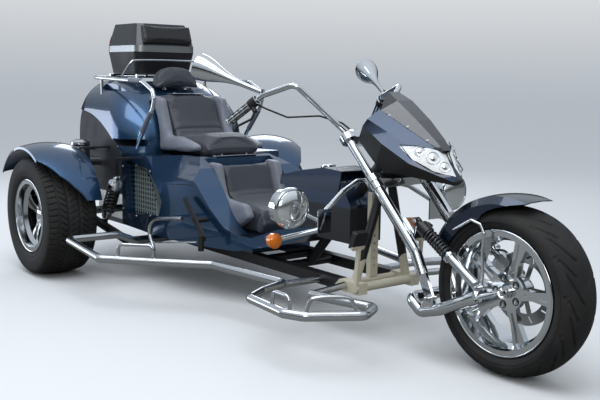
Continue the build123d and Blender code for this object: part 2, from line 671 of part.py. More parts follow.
# Mirrors: long teardrops that grow out of the bar and end in a flat glass
with BuildPart() as mirrors:
    for hand in (-1, 1):
        foot = Vector(bar_bend.X, hand * (-bar_bend.Y), bar_bend.Z) + Vector(0, 0,
                                                                             BAR_RADIUS + SEAT_GAP + 1)
        crown = Vector(*head(-640, hand * 520, 305))
        way = (crown - foot).normalized()
        length = (crown - foot).length
        for share, radius in ((0.0, 8), (0.30, 13), (0.68, 38), (0.92, 61), (1.0, 62)):
            with BuildSketch(Plane(origin=tuple(foot + way * (length * share)), x_dir=(0, way.Z, -way.Y),
                                   z_dir=way)):
                Ellipse(radius, radius * 0.92)
        loft()
        add(rod(tuple(foot + Vector(0, 0, -8)), tuple(foot + Vector(0, 0, 14)), 9))
    add(handlebar.part, mode=Mode.SUBTRACT)
save(mirrors.part, "mirrors")

# Fairing nose: planes square to a line that runs forward and down from above the yokes
NOSE_TILT = 36.0
NOSE_X = 115.0
NOSE_Z = 95.0
NOSE_WALL = 4.0
SCREEN_WALL = 3.0
nose_along = Vector(cos(radians(NOSE_TILT)), 0, -sin(radians(NOSE_TILT)))
nose_up = Vector(sin(radians(NOSE_TILT)), 0, cos(radians(NOSE_TILT)))


def nose_plane(along):
    """A plane square to the nose line, its own x to the left and its own y up."""
    return Plane(origin=tuple(Vector(*head(NOSE_X, 0, NOSE_Z)) + nose_along * along), x_dir=(0, 1, 0),
                 z_dir=nose_along)


def nose_place(along, y, up):
    return Vector(*head(NOSE_X, 0, NOSE_Z)) + nose_along * along + nose_up * up + Vector(0, y, 0)


def nose_skin(stations):
    """A ruled solid through stations of the nose line, each given by the corners of its left half."""
    with BuildPart() as body:
        for along, corners in stations:
            with BuildSketch(nose_plane(along)):
                with BuildLine():
                    Polyline(*corners, *[(-x, y) for x, y in reversed(corners)], close=True)
                make_face()
        loft(ruled=True)
    return body.part


# Each row: place along, then width and height of the deck edge, the cheek, the crease and the keel
NOSE_ROWS = [
    (5, (115, 50), (155, 0), (162, -35), (125, -200)), (145, (82, 66), (130, 25), (165, -20), (120, -170)),
    (300, (45, 85), (100, 55), (145, 5), (75, -75)), (455, (8, 45), (20, 40), (30, 32), (12, 12))]
nose_outside = nose_skin([(row[0], [row[1], row[2], row[3]]) for row in NOSE_ROWS])
nose_rows_inside = [(row[0] - 14 * (row[0] > 400) - 8 * (row[0] < 10), row) for row in NOSE_ROWS]
nose_inside = nose_skin([
    (along, [(max(row[1][0] - 3, 2), row[1][1] - NOSE_WALL),
             (max(row[2][0] - 4.5, 4), row[2][1] - NOSE_WALL * 0.5),
             (max(row[3][0] - NOSE_WALL, 6), row[3][1]), (max(row[3][0] - NOSE_WALL, 6), row[3][1] - 30)])
    for along, row in nose_rows_inside])
LAMP_CORNERS = [(215, 145, 33), (260, 95, 60), (338, 6, 83), (436, 6, 38), (385, 85, 30), (290, 130, 18)]
LAMP_DEPTH = 46.0
lamp_way = {hand: (nose_along * 0.33 + nose_up * 0.76 + Vector(0, hand * 0.56,
                                                               0)).normalized() for hand in (-1, 1)}


def lamp_prism(hand, grow):
    """The opening of one headlight, cut square through the nose skin."""
    corners = [nose_place(along, hand * y, up) for along, y, up in LAMP_CORNERS]
    middle = sum(corners[1:], corners[0]) / len(corners)
    plane = Plane(origin=tuple(middle), x_dir=nose_along, z_dir=lamp_way[hand])
    local = [plane.to_local_coords(corner) for corner in corners]
    with BuildPart() as prism:
        with BuildSketch(plane):
            with BuildLine():
                Polyline(*[(point.X, point.Y) for point in local], close=True)
            make_face()
            if grow:
                offset(amount=grow, kind=Kind.INTERSECTION)
        extrude(amount=LAMP_DEPTH, both=True)
        far_half = block((HEAD_X, -300, 0), (HEAD_X + 700, 2 - grow, 1500)) if hand == 1 else block(
            (HEAD_X, -2 + grow, 0), (HEAD_X + 700, 300, 1500))
        add(far_half, mode=Mode.SUBTRACT)
    return prism.part


with BuildPart() as headlights:
    for hand in (-1, 1):
        add(lamp_prism(hand, 0.0))
    add(nose_outside, mode=Mode.INTERSECT)
save(headlights.part, "headlights")
with BuildPart() as fairing:
    add(nose_outside)
    add(nose_inside, mode=Mode.SUBTRACT)
    for hand in (-1, 1):
        add(lamp_prism(hand, SEAT_GAP), mode=Mode.SUBTRACT)
save(fairing.part, "fairing")

# Black underside of the nose, resting on the eyes of the two yokes
PAN_WALL = 5.0
with BuildPart() as fairing_pan:
    add(nose_skin([(row[0], [(row[3][0], row[3][1] - SEAT_GAP), row[4]]) for row in NOSE_ROWS]))
    add(nose_skin([(row[0] - 25 * (row[0] > 400) - 10 * (row[0] < 10),
                    [(max(row[3][0] - PAN_WALL, 4), row[3][1] + 20),
                     (max(row[3][0] - PAN_WALL, 4), row[3][1] - 1),
                     (max(row[4][0] - PAN_WALL, 2), row[4][1] + PAN_WALL * 2)])
                   for row in NOSE_ROWS]), mode=Mode.SUBTRACT)
    with BuildSketch(fork_plane(-200, YOKE_EYE + SEAT_GAP - 300)):
        Rectangle(600, 600)
    extrude(amount=900, mode=Mode.SUBTRACT)
save(fairing_pan.part, "fairing_pan")

# Three flat panes that lean on the deck of the nose
with BuildPart() as windscreen:
    panes = [(-68, (40, 80), (30, 88)), (10, (110, 50.6), (45, 100)), (150, (77, 66.9), (40, 105)),
             (270, (49, 81.6), (30, 100)), (330, (26, 84.0), (20, 92))]
    add(nose_skin([(along, [centre, side]) for along, side, centre in panes]))
    add(nose_skin([(along, [(centre[0] - 1, centre[1] - SCREEN_WALL), (side[0] - SCREEN_WALL * 1.3,
                                                                       side[1] - 0.5),
                            (side[0] - SCREEN_WALL * 1.3, side[1] - 20)])
                   for along, side, centre in panes]), mode=Mode.SUBTRACT)
    add(nose_outside, mode=Mode.SUBTRACT)
save(windscreen.part, "windscreen")

# Handlebar cable, held all the way: a hanging loop from the right housing to the middle of the bar
CABLE_RADIUS = 4.0
with BuildPart() as bar_cable:
    add(pipe([head(-372, -380, 150 - 12), head(-330, -360, 120), head(-250, -300, 84), head(-170, -180, 92),
              head(-130, -80, 60), head(-92, -34, 14)], 24, CABLE_RADIUS))
    add(switchgear.part, mode=Mode.SUBTRACT)
    add(handlebar.part, mode=Mode.SUBTRACT)
save(bar_cable.part, "bar_cable")

# Chassis frame: two lower rails, cross members and the steering head
RAIL_TOP = 245.0
RAIL_HEIGHT = 50.0
RAIL_WIDTH = 50.0
RAIL_SPREAD = 160.0
RAIL_FACE = RAIL_SPREAD + RAIL_WIDTH / 2
RAIL_BACK = 450.0
CROSS_TUBE = 16.0
HEAD_TUBE_START = YOKE_THICKNESS / 2 + FREE_GAP
HEAD_TUBE_END = LOWER_YOKE - YOKE_THICKNESS / 2 - FREE_GAP
RAIL_FRONT = 2000.0
BACKBONE_RADIUS = 24.0
BACKBONE_FOOT = 1430.0
POST_X = 1880.0
TUBE_LEVEL = 222.0
backbone_low = rear(BACKBONE_FOOT, 0, TUBE_LEVEL)
backbone_high = along_fork(HEAD_TUBE_START + 90, -10)
with BuildPart() as frame:
    for y in (-RAIL_SPREAD, RAIL_SPREAD):
        add(block(rear(-RAIL_BACK, y - RAIL_WIDTH / 2, RAIL_TOP - RAIL_HEIGHT),
                  rear(RAIL_FRONT, y + RAIL_WIDTH / 2, RAIL_TOP)))
        add(rod(rear(RAIL_FRONT - 60, y, TUBE_LEVEL - 2), along_fork(HEAD_TUBE_END - 70, -10), 20))
    for x, radius in ((-430, 20), (420, 20), (1250, 20), (BACKBONE_FOOT, 20), (POST_X, CROSS_TUBE),
                      (RAIL_FRONT - 25, 20)):
        add(rod(rear(x, -RAIL_SPREAD, TUBE_LEVEL), rear(x, RAIL_SPREAD, TUBE_LEVEL), radius))
    add(rod(backbone_low, backbone_high, BACKBONE_RADIUS))
    add(rod(along_fork(HEAD_TUBE_START, 0), along_fork(HEAD_TUBE_END, 0), HEAD_TUBE_RADIUS))
    add(rod(along_fork(-60, 0), along_fork(LOWER_YOKE + 60, 0), STEM_RADIUS + RUNNING_FIT),
        mode=Mode.SUBTRACT)
save(frame.part, "frame")

# Perforated post in front of the console
with BuildPart() as front_post:
    add(block(rear(POST_X - 14, -22, TUBE_LEVEL + CROSS_TUBE + SEAT_GAP), rear(POST_X + 14, 22, 622)))
    add(block(rear(POST_X - 20, -17, 260), rear(POST_X + 10, 17, 630)), mode=Mode.SUBTRACT)
    with BuildSketch(cross_plane(REAR_AXLE_X + POST_X, 0, 440)):
        with GridLocations(0, 34, 1, 10):
            Circle(7)
    extrude(amount=40, both=True, mode=Mode.SUBTRACT)

# Body hump: a smooth loft of rounded rectangles, painted above a sweeping line and a dark liner below it
BODY_HALF = 420.0
HUMP_LEVELS = [(660, -480, 330, 200), (760, -486, 330, 200), (850, -484, 310, 200), (940, -470, 250, 200),
               (1030, -430, 140, 190), (1085, -380, 30, 150)]
HUMP_HALVES = [BODY_HALF, BODY_HALF, BODY_HALF - 6, BODY_HALF - 24, BODY_HALF - 70, BODY_HALF - 150]
HUMP_TOP = HUMP_LEVELS[-1][0]
LINER_STEP = 8.0
SWEEP_LINE = [(-700, 932), (-250, 905), (40, 815), (235, 668)]


def hump(inset):
    """The hump, drawn in by an even amount."""
    with BuildPart() as body:
        for (level, back, front, corner), half in zip(HUMP_LEVELS, HUMP_HALVES):
            with BuildSketch(Plane(origin=rear((back + front) / 2, 0, level))):
                RectangleRounded(front - back - 2 * inset, 2 * (half - inset), corner - inset)
        loft()
    return body.part


def under_sweep(drop):
    """Everything below the sweeping line, lowered by a gap."""
    with BuildPart() as region:
        with BuildSketch(side_plane(0, REAR_AXLE_X, -drop)):
            with BuildLine():
                Line(SWEEP_LINE[0], SWEEP_LINE[1])
                ThreePointArc(*SWEEP_LINE[1:])
                Polyline(SWEEP_LINE[3], (SWEEP_LINE[3][0], 300), (SWEEP_LINE[0][0], 300), SWEEP_LINE[0])
            make_face()
        extrude(amount=BODY_HALF + 60, both=True)
    return region.part


BAY_HALF = 335.0
BAY_TOP = 715.0
LINER_FOOT = 450.0
LINER_BACK = -470.0
with BuildPart() as arch_liners:
    add(hump(LINER_STEP))
    add(block(rear(LINER_BACK, -BODY_HALF + LINER_STEP, LINER_FOOT),
              rear(SWEEP_LINE[3][0], BODY_HALF - LINER_STEP, 700)))
    add(under_sweep(SEAT_GAP), mode=Mode.INTERSECT)
    add(block(rear(-900, -BAY_HALF, 300), rear(600, BAY_HALF, BAY_TOP)), mode=Mode.SUBTRACT)
save(arch_liners.part, "arch_liners")

# Lower hull: a tapering plan crossed with the side profile, with seat pocket, intakes and grab rail cuts
HULL_TAIL = 250.0
HULL_FOOT = 285.0
POCKET_HALF = 214.0
INTAKE_OUTER = [(310, 650), (550, 630), (660, 540), (720, 460), (670, 387), (300, 353)]
INTAKE_INNER = [(276, 638), (440, 590), (495, 531), (535, 450), (560, 362), (285, 358)]
INTAKE_DEPTH = 60.0
GRILLE_THICKNESS = 3.0


def hull_plan(grow):
    """The tapering plan of the lower hull, seen from above, widened by a gap."""
    with BuildPart() as body:
        with BuildSketch(Plane(origin=(0, 0, 200))):
            with BuildLine():
                right_line = [(REAR_AXLE_X + x, -y - grow) for x, y in
                              ((HULL_TAIL, BODY_HALF + 2), (600, BODY_HALF), (1150, 305), (1600, 100))]
                left_line = [(x, -y) for x, y in reversed(right_line)]
                Polyline(right_line[0], right_line[1])
                ThreePointArc(*right_line[1:])
                Polyline(right_line[3], left_line[0])
                ThreePointArc(*left_line[:3])
                Polyline(left_line[2], left_line[3], right_line[0])
            make_face()
        extrude(amount=600)
    return body.part


with BuildPart() as body_shell:
    with BuildSketch(side_plane(0, REAR_AXLE_X)):
        with BuildLine():
            Polyline((HULL_TAIL, 690), (770, 700), (880, 650), (960, 570), (1040, 470), (1130, 380),
                     (1200, 350),
                     (1290, 345), (1420, 400), (1590, 430), (1600, 400), (1450, 330), (1200, 268), (900,
                                                                                                    268),
                     (HULL_TAIL, HULL_FOOT), close=True)
        make_face()
    extrude(amount=BODY_HALF + 5, both=True)
    add(hull_plan(0.0), mode=Mode.INTERSECT)
    add(hump(0.0))
    add(under_sweep(0.0), mode=Mode.SUBTRACT)
    for hand in (-1, 1):
        with BuildSketch(cross_plane(REAR_AXLE_X + 600)):
            with BuildLine():
                Polyline((hand * BODY_HALF, 560), (hand * (BODY_HALF - 200), 705),
                         (hand * (BODY_HALF + 20), 705),
                         (hand * (BODY_HALF + 20), 560), close=True)
            make_face()
        extrude(amount=1000, mode=Mode.SUBTRACT)
        face = hand * BODY_HALF
        for y, outline in ((face + hand * 4, INTAKE_OUTER), (face - hand * INTAKE_DEPTH, INTAKE_INNER)):
            with BuildSketch(side_plane(y, REAR_AXLE_X)):
                with BuildLine():
                    Polyline(*outline, close=True)
                make_face()
        loft(ruled=True, mode=Mode.SUBTRACT)
        with BuildSketch(side_plane(hand * (BODY_HALF - 56), REAR_AXLE_X)):
            with BuildLine():
                Polyline((140, 726), (500, 726), (560, 745), (520, 765), (140, 765), close=True)
            make_face()
        extrude(amount=70, both=True, mode=Mode.SUBTRACT)
        with BuildSketch(Plane(origin=(0, 0, HUMP_TOP + 20))):
            with BuildLine():
                Polyline(*[(REAR_AXLE_X + x, hand * y) for x, y in
                           ((-174, 300), (-53, 300), (137, 300), (150, 340), (-50, 352),
                            (-170, 340))], close=True)
            make_face()
        extrude(amount=-74, mode=Mode.SUBTRACT)
    add(block(rear(790, -POCKET_HALF, 345), rear(1300, POCKET_HALF, 760)), mode=Mode.SUBTRACT)
    add(block(rear(400, -RAIL_FACE, RAIL_TOP + SEAT_GAP), rear(1200, RAIL_FACE, 320)))
    add(rod(backbone_low, backbone_high, BACKBONE_RADIUS + SEAT_GAP), mode=Mode.SUBTRACT)
save(body_shell.part, "body_shell")

# Mesh in the floor of each intake
with BuildPart() as intake_grilles:
    for hand in (-1, 1):
        mesh_y = hand * (BODY_HALF - INTAKE_DEPTH + SEAT_GAP + GRILLE_THICKNESS / 2)
        with BuildSketch(side_plane(mesh_y, REAR_AXLE_X)):
            with BuildLine():
                Polyline(*INTAKE_INNER, close=True)
            make_face()
            offset(amount=-2.4, kind=Kind.INTERSECTION)
            with Locations((405, 500)):
                with GridLocations(26, 26, 10, 11):
                    Rectangle(19, 19, mode=Mode.SUBTRACT)
        extrude(amount=GRILLE_THICKNESS / 2, both=True)
save(intake_grilles.part, "intake_grilles")

# Engine with its gearbox, standing on the rails
with BuildPart() as engine:
    add(block(rear(-440, -240, RAIL_TOP), rear(-90, 240, 690)))
    add(slab(side_plane(0, REAR_AXLE_X), [(-90, RAIL_TOP), (170, RAIL_TOP + 20), (170, 420), (-90, 440)],
             260))
save(engine.part, "engine")

# Rear axle: half shafts, stub axles and hub carriers
CARRIER_Y = REAR_WHEEL_OFFSET - 178.0
CARRIER_RADIUS = 62.0
with BuildPart() as rear_axle:
    for hand in (-1, 1):
        add(rod(rear(0, hand * (130 + SEAT_GAP), REAR_TYRE_RADIUS),
                rear(0, hand * CARRIER_Y, REAR_TYRE_RADIUS), 22))
        add(rod(rear(0, hand * CARRIER_Y, REAR_TYRE_RADIUS),
                rear(0, hand * (REAR_WHEEL_OFFSET + 62), REAR_TYRE_RADIUS),
                REAR_AXLE_RADIUS))
        add(disc(side_plane(hand * CARRIER_Y, REAR_AXLE_X, REAR_TYRE_RADIUS), CARRIER_RADIUS, 36))
save(rear_axle.part, "rear_axle")

# Trailing arms from the frame rails to the hub carriers
ARM_PIVOT = 415.0
with BuildPart() as trailing_arms:
    for hand in (-1, 1):
        add(rod(rear(50, hand * (CARRIER_Y - 25), 318), rear(ARM_PIVOT, hand * 480, TUBE_LEVEL), 24))
        add(rod(rear(ARM_PIVOT, hand * 490, TUBE_LEVEL), rear(ARM_PIVOT, hand * (RAIL_FACE + SEAT_GAP),
                                                              TUBE_LEVEL), 16))
        add(disc(side_plane(hand * CARRIER_Y, REAR_AXLE_X, REAR_TYRE_RADIUS),
                 CARRIER_RADIUS + SEAT_GAP + 12, 30))
        add(disc(side_plane(hand * CARRIER_Y, REAR_AXLE_X, REAR_TYRE_RADIUS), CARRIER_RADIUS + SEAT_GAP,
                 40), mode=Mode.SUBTRACT)
        add(rod(rear(0, hand * (CARRIER_Y - 60), REAR_TYRE_RADIUS),
                rear(0, hand * (CARRIER_Y + 60), REAR_TYRE_RADIUS),
                CARRIER_RADIUS + SEAT_GAP), mode=Mode.SUBTRACT)
save(trailing_arms.part, "trailing_arms")

# Rear shock absorbers with wound springs, between the trailing arms and the body
REAR_SPRING = 38.0
REAR_WIRE = 6.0
REAR_COILS = 6
REAR_CAP = 34.0
REAR_SPRING_FROM = 60.0
REAR_SPRING_TO = 212.0
REAR_SHOCK_Y = 503.0
rear_shock_ends = [(Vector(*rear(352, hand * REAR_SHOCK_Y, 560)),
                    Vector(*rear(205, hand * REAR_SHOCK_Y, 318)))
                   for hand in (-1, 1)]
with BuildPart() as rear_shocks:
    for top, foot in rear_shock_ends:
        add(damper(top, foot, REAR_SPRING, REAR_CAP, REAR_SPRING_FROM, REAR_SPRING_TO))
save(rear_shocks.part, "rear_shocks")
with BuildPart() as rear_springs:
    for top, foot in rear_shock_ends:
        add(coil(top, foot, REAR_SPRING, REAR_WIRE, REAR_SPRING_FROM, REAR_SPRING_TO, REAR_COILS))
save(rear_springs.part, "rear_springs")

# Brackets of the rear dampers: a tower on the body and a lug on the arm for each
BRACKET_RISE = 112.0
HULL_FLARE = 2.0
with BuildPart() as shock_brackets:
    for (top, foot), hand in zip(rear_shock_ends, (-1, 1)):
        inner = BODY_HALF + HULL_FLARE + SEAT_GAP
        add(slab(side_plane(hand * REAR_SHOCK_Y, top.X, top.Z),
                 [(-10, 0), (10, 0), (18, BRACKET_RISE), (-18, BRACKET_RISE)], EYE_PLATE))
        add(disc(side_plane(hand * REAR_SHOCK_Y, top.X, top.Z), EYE_RADIUS, EYE_PLATE))
        add(block((top.X - 22, min(hand * inner, hand * (REAR_SHOCK_Y + 6)), top.Z + BRACKET_RISE - 12),
                  (top.X + 22, max(hand * inner, hand * (REAR_SHOCK_Y + 6)), top.Z + BRACKET_RISE)))
        add(disc(side_plane(hand * REAR_SHOCK_Y, top.X, top.Z), EYE_HOLE + SEAT_GAP, 40),
            mode=Mode.SUBTRACT)
        add(slab(side_plane(hand * REAR_SHOCK_Y, foot.X, foot.Z),
                 [(-12, 8), (12, 8), (20, -34), (-16, -34)], EYE_PLATE))
        add(disc(side_plane(hand * REAR_SHOCK_Y, foot.X, foot.Z), EYE_RADIUS, EYE_PLATE))
        add(disc(side_plane(hand * REAR_SHOCK_Y, foot.X, foot.Z), EYE_HOLE + SEAT_GAP, 40),
            mode=Mode.SUBTRACT)
    add(trailing_arms.part, mode=Mode.SUBTRACT)

# Rear mudguards: a turned hood with a rolled outer lip, its front corner cut away
HOOD_EDGE = 385.0
HOOD_CROWN = 408.0
HOOD_INNER = 600.0
HOOD_OUTER = 900.0
HOOD_WALL = 4.0
HOOD_FRONT = 17.0
HOOD_REAR = 145.0
HOOD_MIDDLE = (HOOD_INNER + HOOD_OUTER) / 2
for side, hand in SIDES.items():
    with BuildPart() as rear_hood:
        with BuildSketch(cross_plane(REAR_AXLE_X, 0, REAR_TYRE_RADIUS)):
            with BuildLine():
                low, high, crown = hand * HOOD_INNER, hand * HOOD_OUTER, hand * HOOD_MIDDLE
                lip = hand * (HOOD_OUTER + 2)
                ThreePointArc((low, HOOD_EDGE), (crown, HOOD_CROWN), (high, HOOD_EDGE))
                Polyline((high, HOOD_EDGE), (lip, HOOD_EDGE - 12), (lip - hand * HOOD_WALL, HOOD_EDGE - 13),
                         (high - hand * HOOD_WALL, HOOD_EDGE - HOOD_WALL))
                ThreePointArc((high - hand * HOOD_WALL, HOOD_EDGE - HOOD_WALL),
                              (crown, HOOD_CROWN - HOOD_WALL),
                              (low + hand * HOOD_WALL, HOOD_EDGE - HOOD_WALL))
                Polyline((low + hand * HOOD_WALL, HOOD_EDGE - HOOD_WALL),
                         (low + hand * HOOD_WALL, HOOD_EDGE - 12),
                         (low, HOOD_EDGE - 12), (low, HOOD_EDGE))
            make_face()
        revolve(axis=spin_line(REAR_AXLE_X, REAR_TYRE_RADIUS), revolution_arc=HOOD_REAR - HOOD_FRONT)
    hood_turned = rear_hood.part.rotate(spin_line(REAR_AXLE_X, REAR_TYRE_RADIUS), -(HOOD_REAR - 90))
    with BuildPart() as rear_fender:
        add(hood_turned)
        with BuildSketch(Plane(origin=(0, 0, 100))):
            with BuildLine():
                Polyline(*[(REAR_AXLE_X + x, hand * y) for x, y in
                           ((180, 960), (200, 900), (312, 817), (357, 754), (384, 693), (400, 660),
                            (460, 600), (500, 960))],
                         close=True)
            make_face()
        extrude(amount=900, mode=Mode.SUBTRACT)
    save(rear_fender.part, "rear_fender_" + side)

# Flat strips from the liner to the mudguards, saved with the other brackets
BRACKET_STRIP = 9.0
with BuildPart() as fender_brackets:
    for hand in (-1, 1):
        for x, level in ((-150, 680), (60, 706)):
            spans = sorted((hand * (BODY_HALF - LINER_STEP + 2 * SEAT_GAP), hand * (HOOD_INNER - SEAT_GAP)))
            add(block(rear(x - 22, spans[0], level), rear(x + 22, spans[1], level + BRACKET_STRIP)))
with BuildPart() as brackets:
    add(front_post.part)
    add(shock_brackets.part)
    add(fender_brackets.part)
save(brackets.part, "brackets")

# Silencers: an upright can on each side behind the hump, with an elbow that enters the liner
CAN_RADIUS = 55.0
CAN_Y = 530.0
CAN_X = -60.0
CAN_FOOT = 560.0
CAN_TOP = 735.0
with BuildPart() as exhaust_cans:
    for hand in (-1, 1):
        add(rod(rear(CAN_X, hand * CAN_Y, CAN_FOOT), rear(CAN_X, hand * CAN_Y, CAN_TOP), CAN_RADIUS))
        add(rod(rear(CAN_X, hand * CAN_Y, CAN_FOOT - 26), rear(CAN_X, hand * CAN_Y, CAN_FOOT), 24,
                CAN_RADIUS))
        add(rod(rear(CAN_X, hand * CAN_Y, CAN_TOP), rear(CAN_X, hand * CAN_Y, CAN_TOP + 14), CAN_RADIUS,
                30))
        add(rod(rear(CAN_X, hand * CAN_Y, 620), rear(CAN_X, hand * (BODY_HALF - LINER_STEP + SEAT_GAP),
                                                     620), 26))
save(exhaust_cans.part, "exhaust_cans")

# Seats: a slate centre between two raised bolsters each
CUSHION_GAP = 1.0
BOLSTER_WIDTH = 78.0
REAR_SEAT_HALF = 226.0
rear_bolster = [(239, 763), (272, 706), (332, 701), (609, 701), (722, 716), (730, 745), (555, 795),
                (424, 803), (352, 950),
                (334, 1000), (262, 1012), (180, 1008)]
rear_centre = [(262, 740), (300, 701), (700, 701), (755, 712), (772, 742), (740, 770), (560, 778),
               (420, 786), (372, 860),
               (300, 1010), (172, 1016)]
with BuildPart() as rear_seat:
    add(slab(side_plane(0, REAR_AXLE_X), rear_centre, 2 * (REAR_SEAT_HALF - BOLSTER_WIDTH - CUSHION_GAP),
             12))
    add(hump(-SEAT_GAP), mode=Mode.SUBTRACT)
save(rear_seat.part, "rear_seat")
with BuildPart() as rear_bolsters:
    for hand in (-1, 1):
        add(slab(side_plane(hand * (REAR_SEAT_HALF - BOLSTER_WIDTH / 2), REAR_AXLE_X), rear_bolster,
                 BOLSTER_WIDTH, 10))
    add(hump(-SEAT_GAP), mode=Mode.SUBTRACT)
FRONT_SEAT_HALF = 211.0
front_bolster = [(792, 676), (796, 600), (800, 350), (1093, 347), (1207, 418), (1163, 482), (971, 512),
                 (893, 678)]
front_centre = [(792, 660), (800, 350), (1240, 347), (1282, 400), (1240, 452), (1000, 478), (930, 520),
                (868, 672)]
with BuildPart() as front_seat:
    add(slab(side_plane(0, REAR_AXLE_X), front_centre, 2 * (FRONT_SEAT_HALF - BOLSTER_WIDTH - CUSHION_GAP),
             12))
    add(body_shell.part, mode=Mode.SUBTRACT)
save(front_seat.part, "front_seat")
with BuildPart() as front_bolsters:
    for hand in (-1, 1):
        add(slab(side_plane(hand * (FRONT_SEAT_HALF - BOLSTER_WIDTH / 2), REAR_AXLE_X), front_bolster,
                 BOLSTER_WIDTH, 10))
with BuildPart() as seat_bolsters:
    add(rear_bolsters.part)
    add(front_bolsters.part)
save(seat_bolsters.part, "seat_bolsters")
with BuildPart() as headrest:
    add(slab(side_plane(0, REAR_AXLE_X), [(84, HUMP_TOP + SEAT_GAP), (152, 1046), (160, 1062), (142, 1172),
                                          (78, 1178)], 296, 9))
    add(hump(-SEAT_GAP), mode=Mode.SUBTRACT)
save(headrest.part, "headrest")

# Top case: a hollow tub under a bright band, with a lid on a front hinge and a soft pad
CASE_FRONT = 30.0
CASE_REAR = -380.0
CASE_HALF = 205.0
CASE_FLOOR = 1130.0
CASE_SPLIT = 1262.0
CASE_HINGE = 1300.0
CASE_TOP = 1430.0
CASE_WALL = 5.0
CASE_TAPER = 50.0


def case_shell(first_level, last_level, first_taper, last_taper, floor, roof):
    """A ring or tub of the case between two levels, open where it has no floor or roof."""
    length = CASE_FRONT - CASE_REAR
    middle = (CASE_FRONT + CASE_REAR) / 2
    with BuildPart() as shell:
        for wall, mode in ((0.0, Mode.ADD), (CASE_WALL, Mode.SUBTRACT)):
            start = first_level + (wall if floor else -wall * 0.001)
            stop = last_level - (wall if roof else -wall * 0.001)
            for level, taper in ((start, first_taper), (stop, last_taper)):
                with BuildSketch(Plane(origin=rear(middle - taper * 0.1, 0, level))):
                    RectangleRounded(length - taper - 2 * wall, 2 * CASE_HALF - taper * 0.8 - 2 * wall,
                                     56 - wall)
            loft(mode=mode)
    return shell.part


with BuildPart() as case_tub:
    add(case_shell(CASE_FLOOR, CASE_SPLIT, CASE_TAPER, 0.0, True, False))
save(case_tub.part, "case_tub")
with BuildPart() as case_band:
    add(case_shell(CASE_SPLIT + SEAT_GAP, CASE_HINGE, 0.0, 0.0, False, False))
save(case_band.part, "case_band")
with BuildPart() as case_lid:
    add(case_shell(CASE_HINGE + SEAT_GAP, CASE_TOP, 0.0, 76.0, False, True))
save(case_lid.part, "case_lid")
with BuildPart() as case_pad:
    add(slab(side_plane(0, REAR_AXLE_X), [(20, 1306), (52, 1306), (46, 1340), (14, 1422), (-20, 1422)], 340,
             8))
    length = CASE_FRONT - CASE_REAR
    for level, taper in ((CASE_HINGE - 10, -5.85), (CASE_TOP, 76.0)):
        with BuildSketch(Plane(origin=rear((CASE_FRONT + CASE_REAR) / 2 - taper * 0.1, 0, level))):
            RectangleRounded(length - taper + 2 * SEAT_GAP, 2 * CASE_HALF - taper * 0.8, 56)
    loft(mode=Mode.SUBTRACT)
save(case_pad.part, "case_pad")

# Rack under the case, and a bright hoop in front of it
RACK_LEVEL = CASE_FLOOR - 11.0 - SEAT_GAP
with BuildPart() as luggage_rack:
    for y in (-140, 140):
        add(rod(rear(-370, y, RACK_LEVEL), rear(28, y, RACK_LEVEL), 9))
        for x in (-50, -290):
            add(rod(rear(x, y, RACK_LEVEL), rear(x, y, HUMP_TOP + SEAT_GAP), 8))
    for x in (-340, 10):
        add(rod(rear(x, -200, RACK_LEVEL), rear(x, 200, RACK_LEVEL), 11))
save(luggage_rack.part, "luggage_rack")

# Side rails with the front foot frames and their small hoops
RAIL_TUBE = 20.0
HOOP_WIRE = 8.0
for side, hand in SIDES.items():
    with BuildPart() as side_rail:
        add(pipe([rear(x, hand * y, z) for x, y, z in
                  ((465, RAIL_FACE + SEAT_GAP, TUBE_LEVEL), (465, 450, TUBE_LEVEL), (465, 560, 268),
                   (465, 845, 270), (880, 862, 243), (1100, 660, 240), (1290, 478, 240),
                   (1740, 392, 226), (1800, 560, 226), (1862, 662, 226), (2130, 690, 226), (2210, 655, 226),
                   (2335, 455, 226), (2270, 345, 226), (1960, 420, 226))], 34, RAIL_TUBE))
        add(rod(rear(1962, hand * 420, TUBE_LEVEL + 3), rear(1910, hand * (RAIL_FACE + SEAT_GAP + 4),
                                                             TUBE_LEVEL + 3), CROSS_TUBE))
        add(rod(rear(1740, hand * 392, TUBE_LEVEL), rear(1740, hand * (RAIL_FACE + SEAT_GAP), TUBE_LEVEL),
                CROSS_TUBE))
        add(block(rear(1860, min(0, hand * (RAIL_FACE + SEAT_GAP)), 180),
                  rear(1990, max(0, hand * (RAIL_FACE + SEAT_GAP)), 280)),
            mode=Mode.SUBTRACT)
        for hoop in (((948, 800, 250), (952, 796, 318), (1078, 681, 318), (1082, 677, 250)),
                     ((2040, 680, 240), (2046, 680, 296), (2150, 682, 296), (2156, 680, 240))):
            add(pipe([rear(x, hand * y, z) for x, y, z in hoop], 24, HOOP_WIRE))
    save(side_rail.part, "side_rail_" + side)

# Grab rails along the body, with grey sleeves on two stretches
GRAB_Y = 358.0
GRAB_WIRE = 11.0
SLEEVE_RADIUS = 14.0
grab_line = [(-230, 140, 1106), (-226, 348, 1106), (-190, GRAB_Y, 1106), (385, GRAB_Y, 1090),
             (495, GRAB_Y, 1043),
             (515, GRAB_Y, 1000), (495, GRAB_Y, 945), (355, GRAB_Y, 790), (304, GRAB_Y, 719)]
sleeve_ends = [((235, GRAB_Y, 1094.2), (360, GRAB_Y, 1090.7)), ((480, GRAB_Y, 928.4), (375, GRAB_Y, 812.1))]
with BuildPart() as grab_rails:
    for hand in (-1, 1):
        add(pipe([rear(x, hand * y, z) for x, y, z in grab_line], 30, GRAB_WIRE))
        add(rod(rear(-120, hand * GRAB_Y, 1104), rear(-120, hand * GRAB_Y, 960), 8))
    add(body_shell.part, mode=Mode.SUBTRACT)
    add(luggage_rack.part, mode=Mode.SUBTRACT)
save(grab_rails.part, "grab_rails")
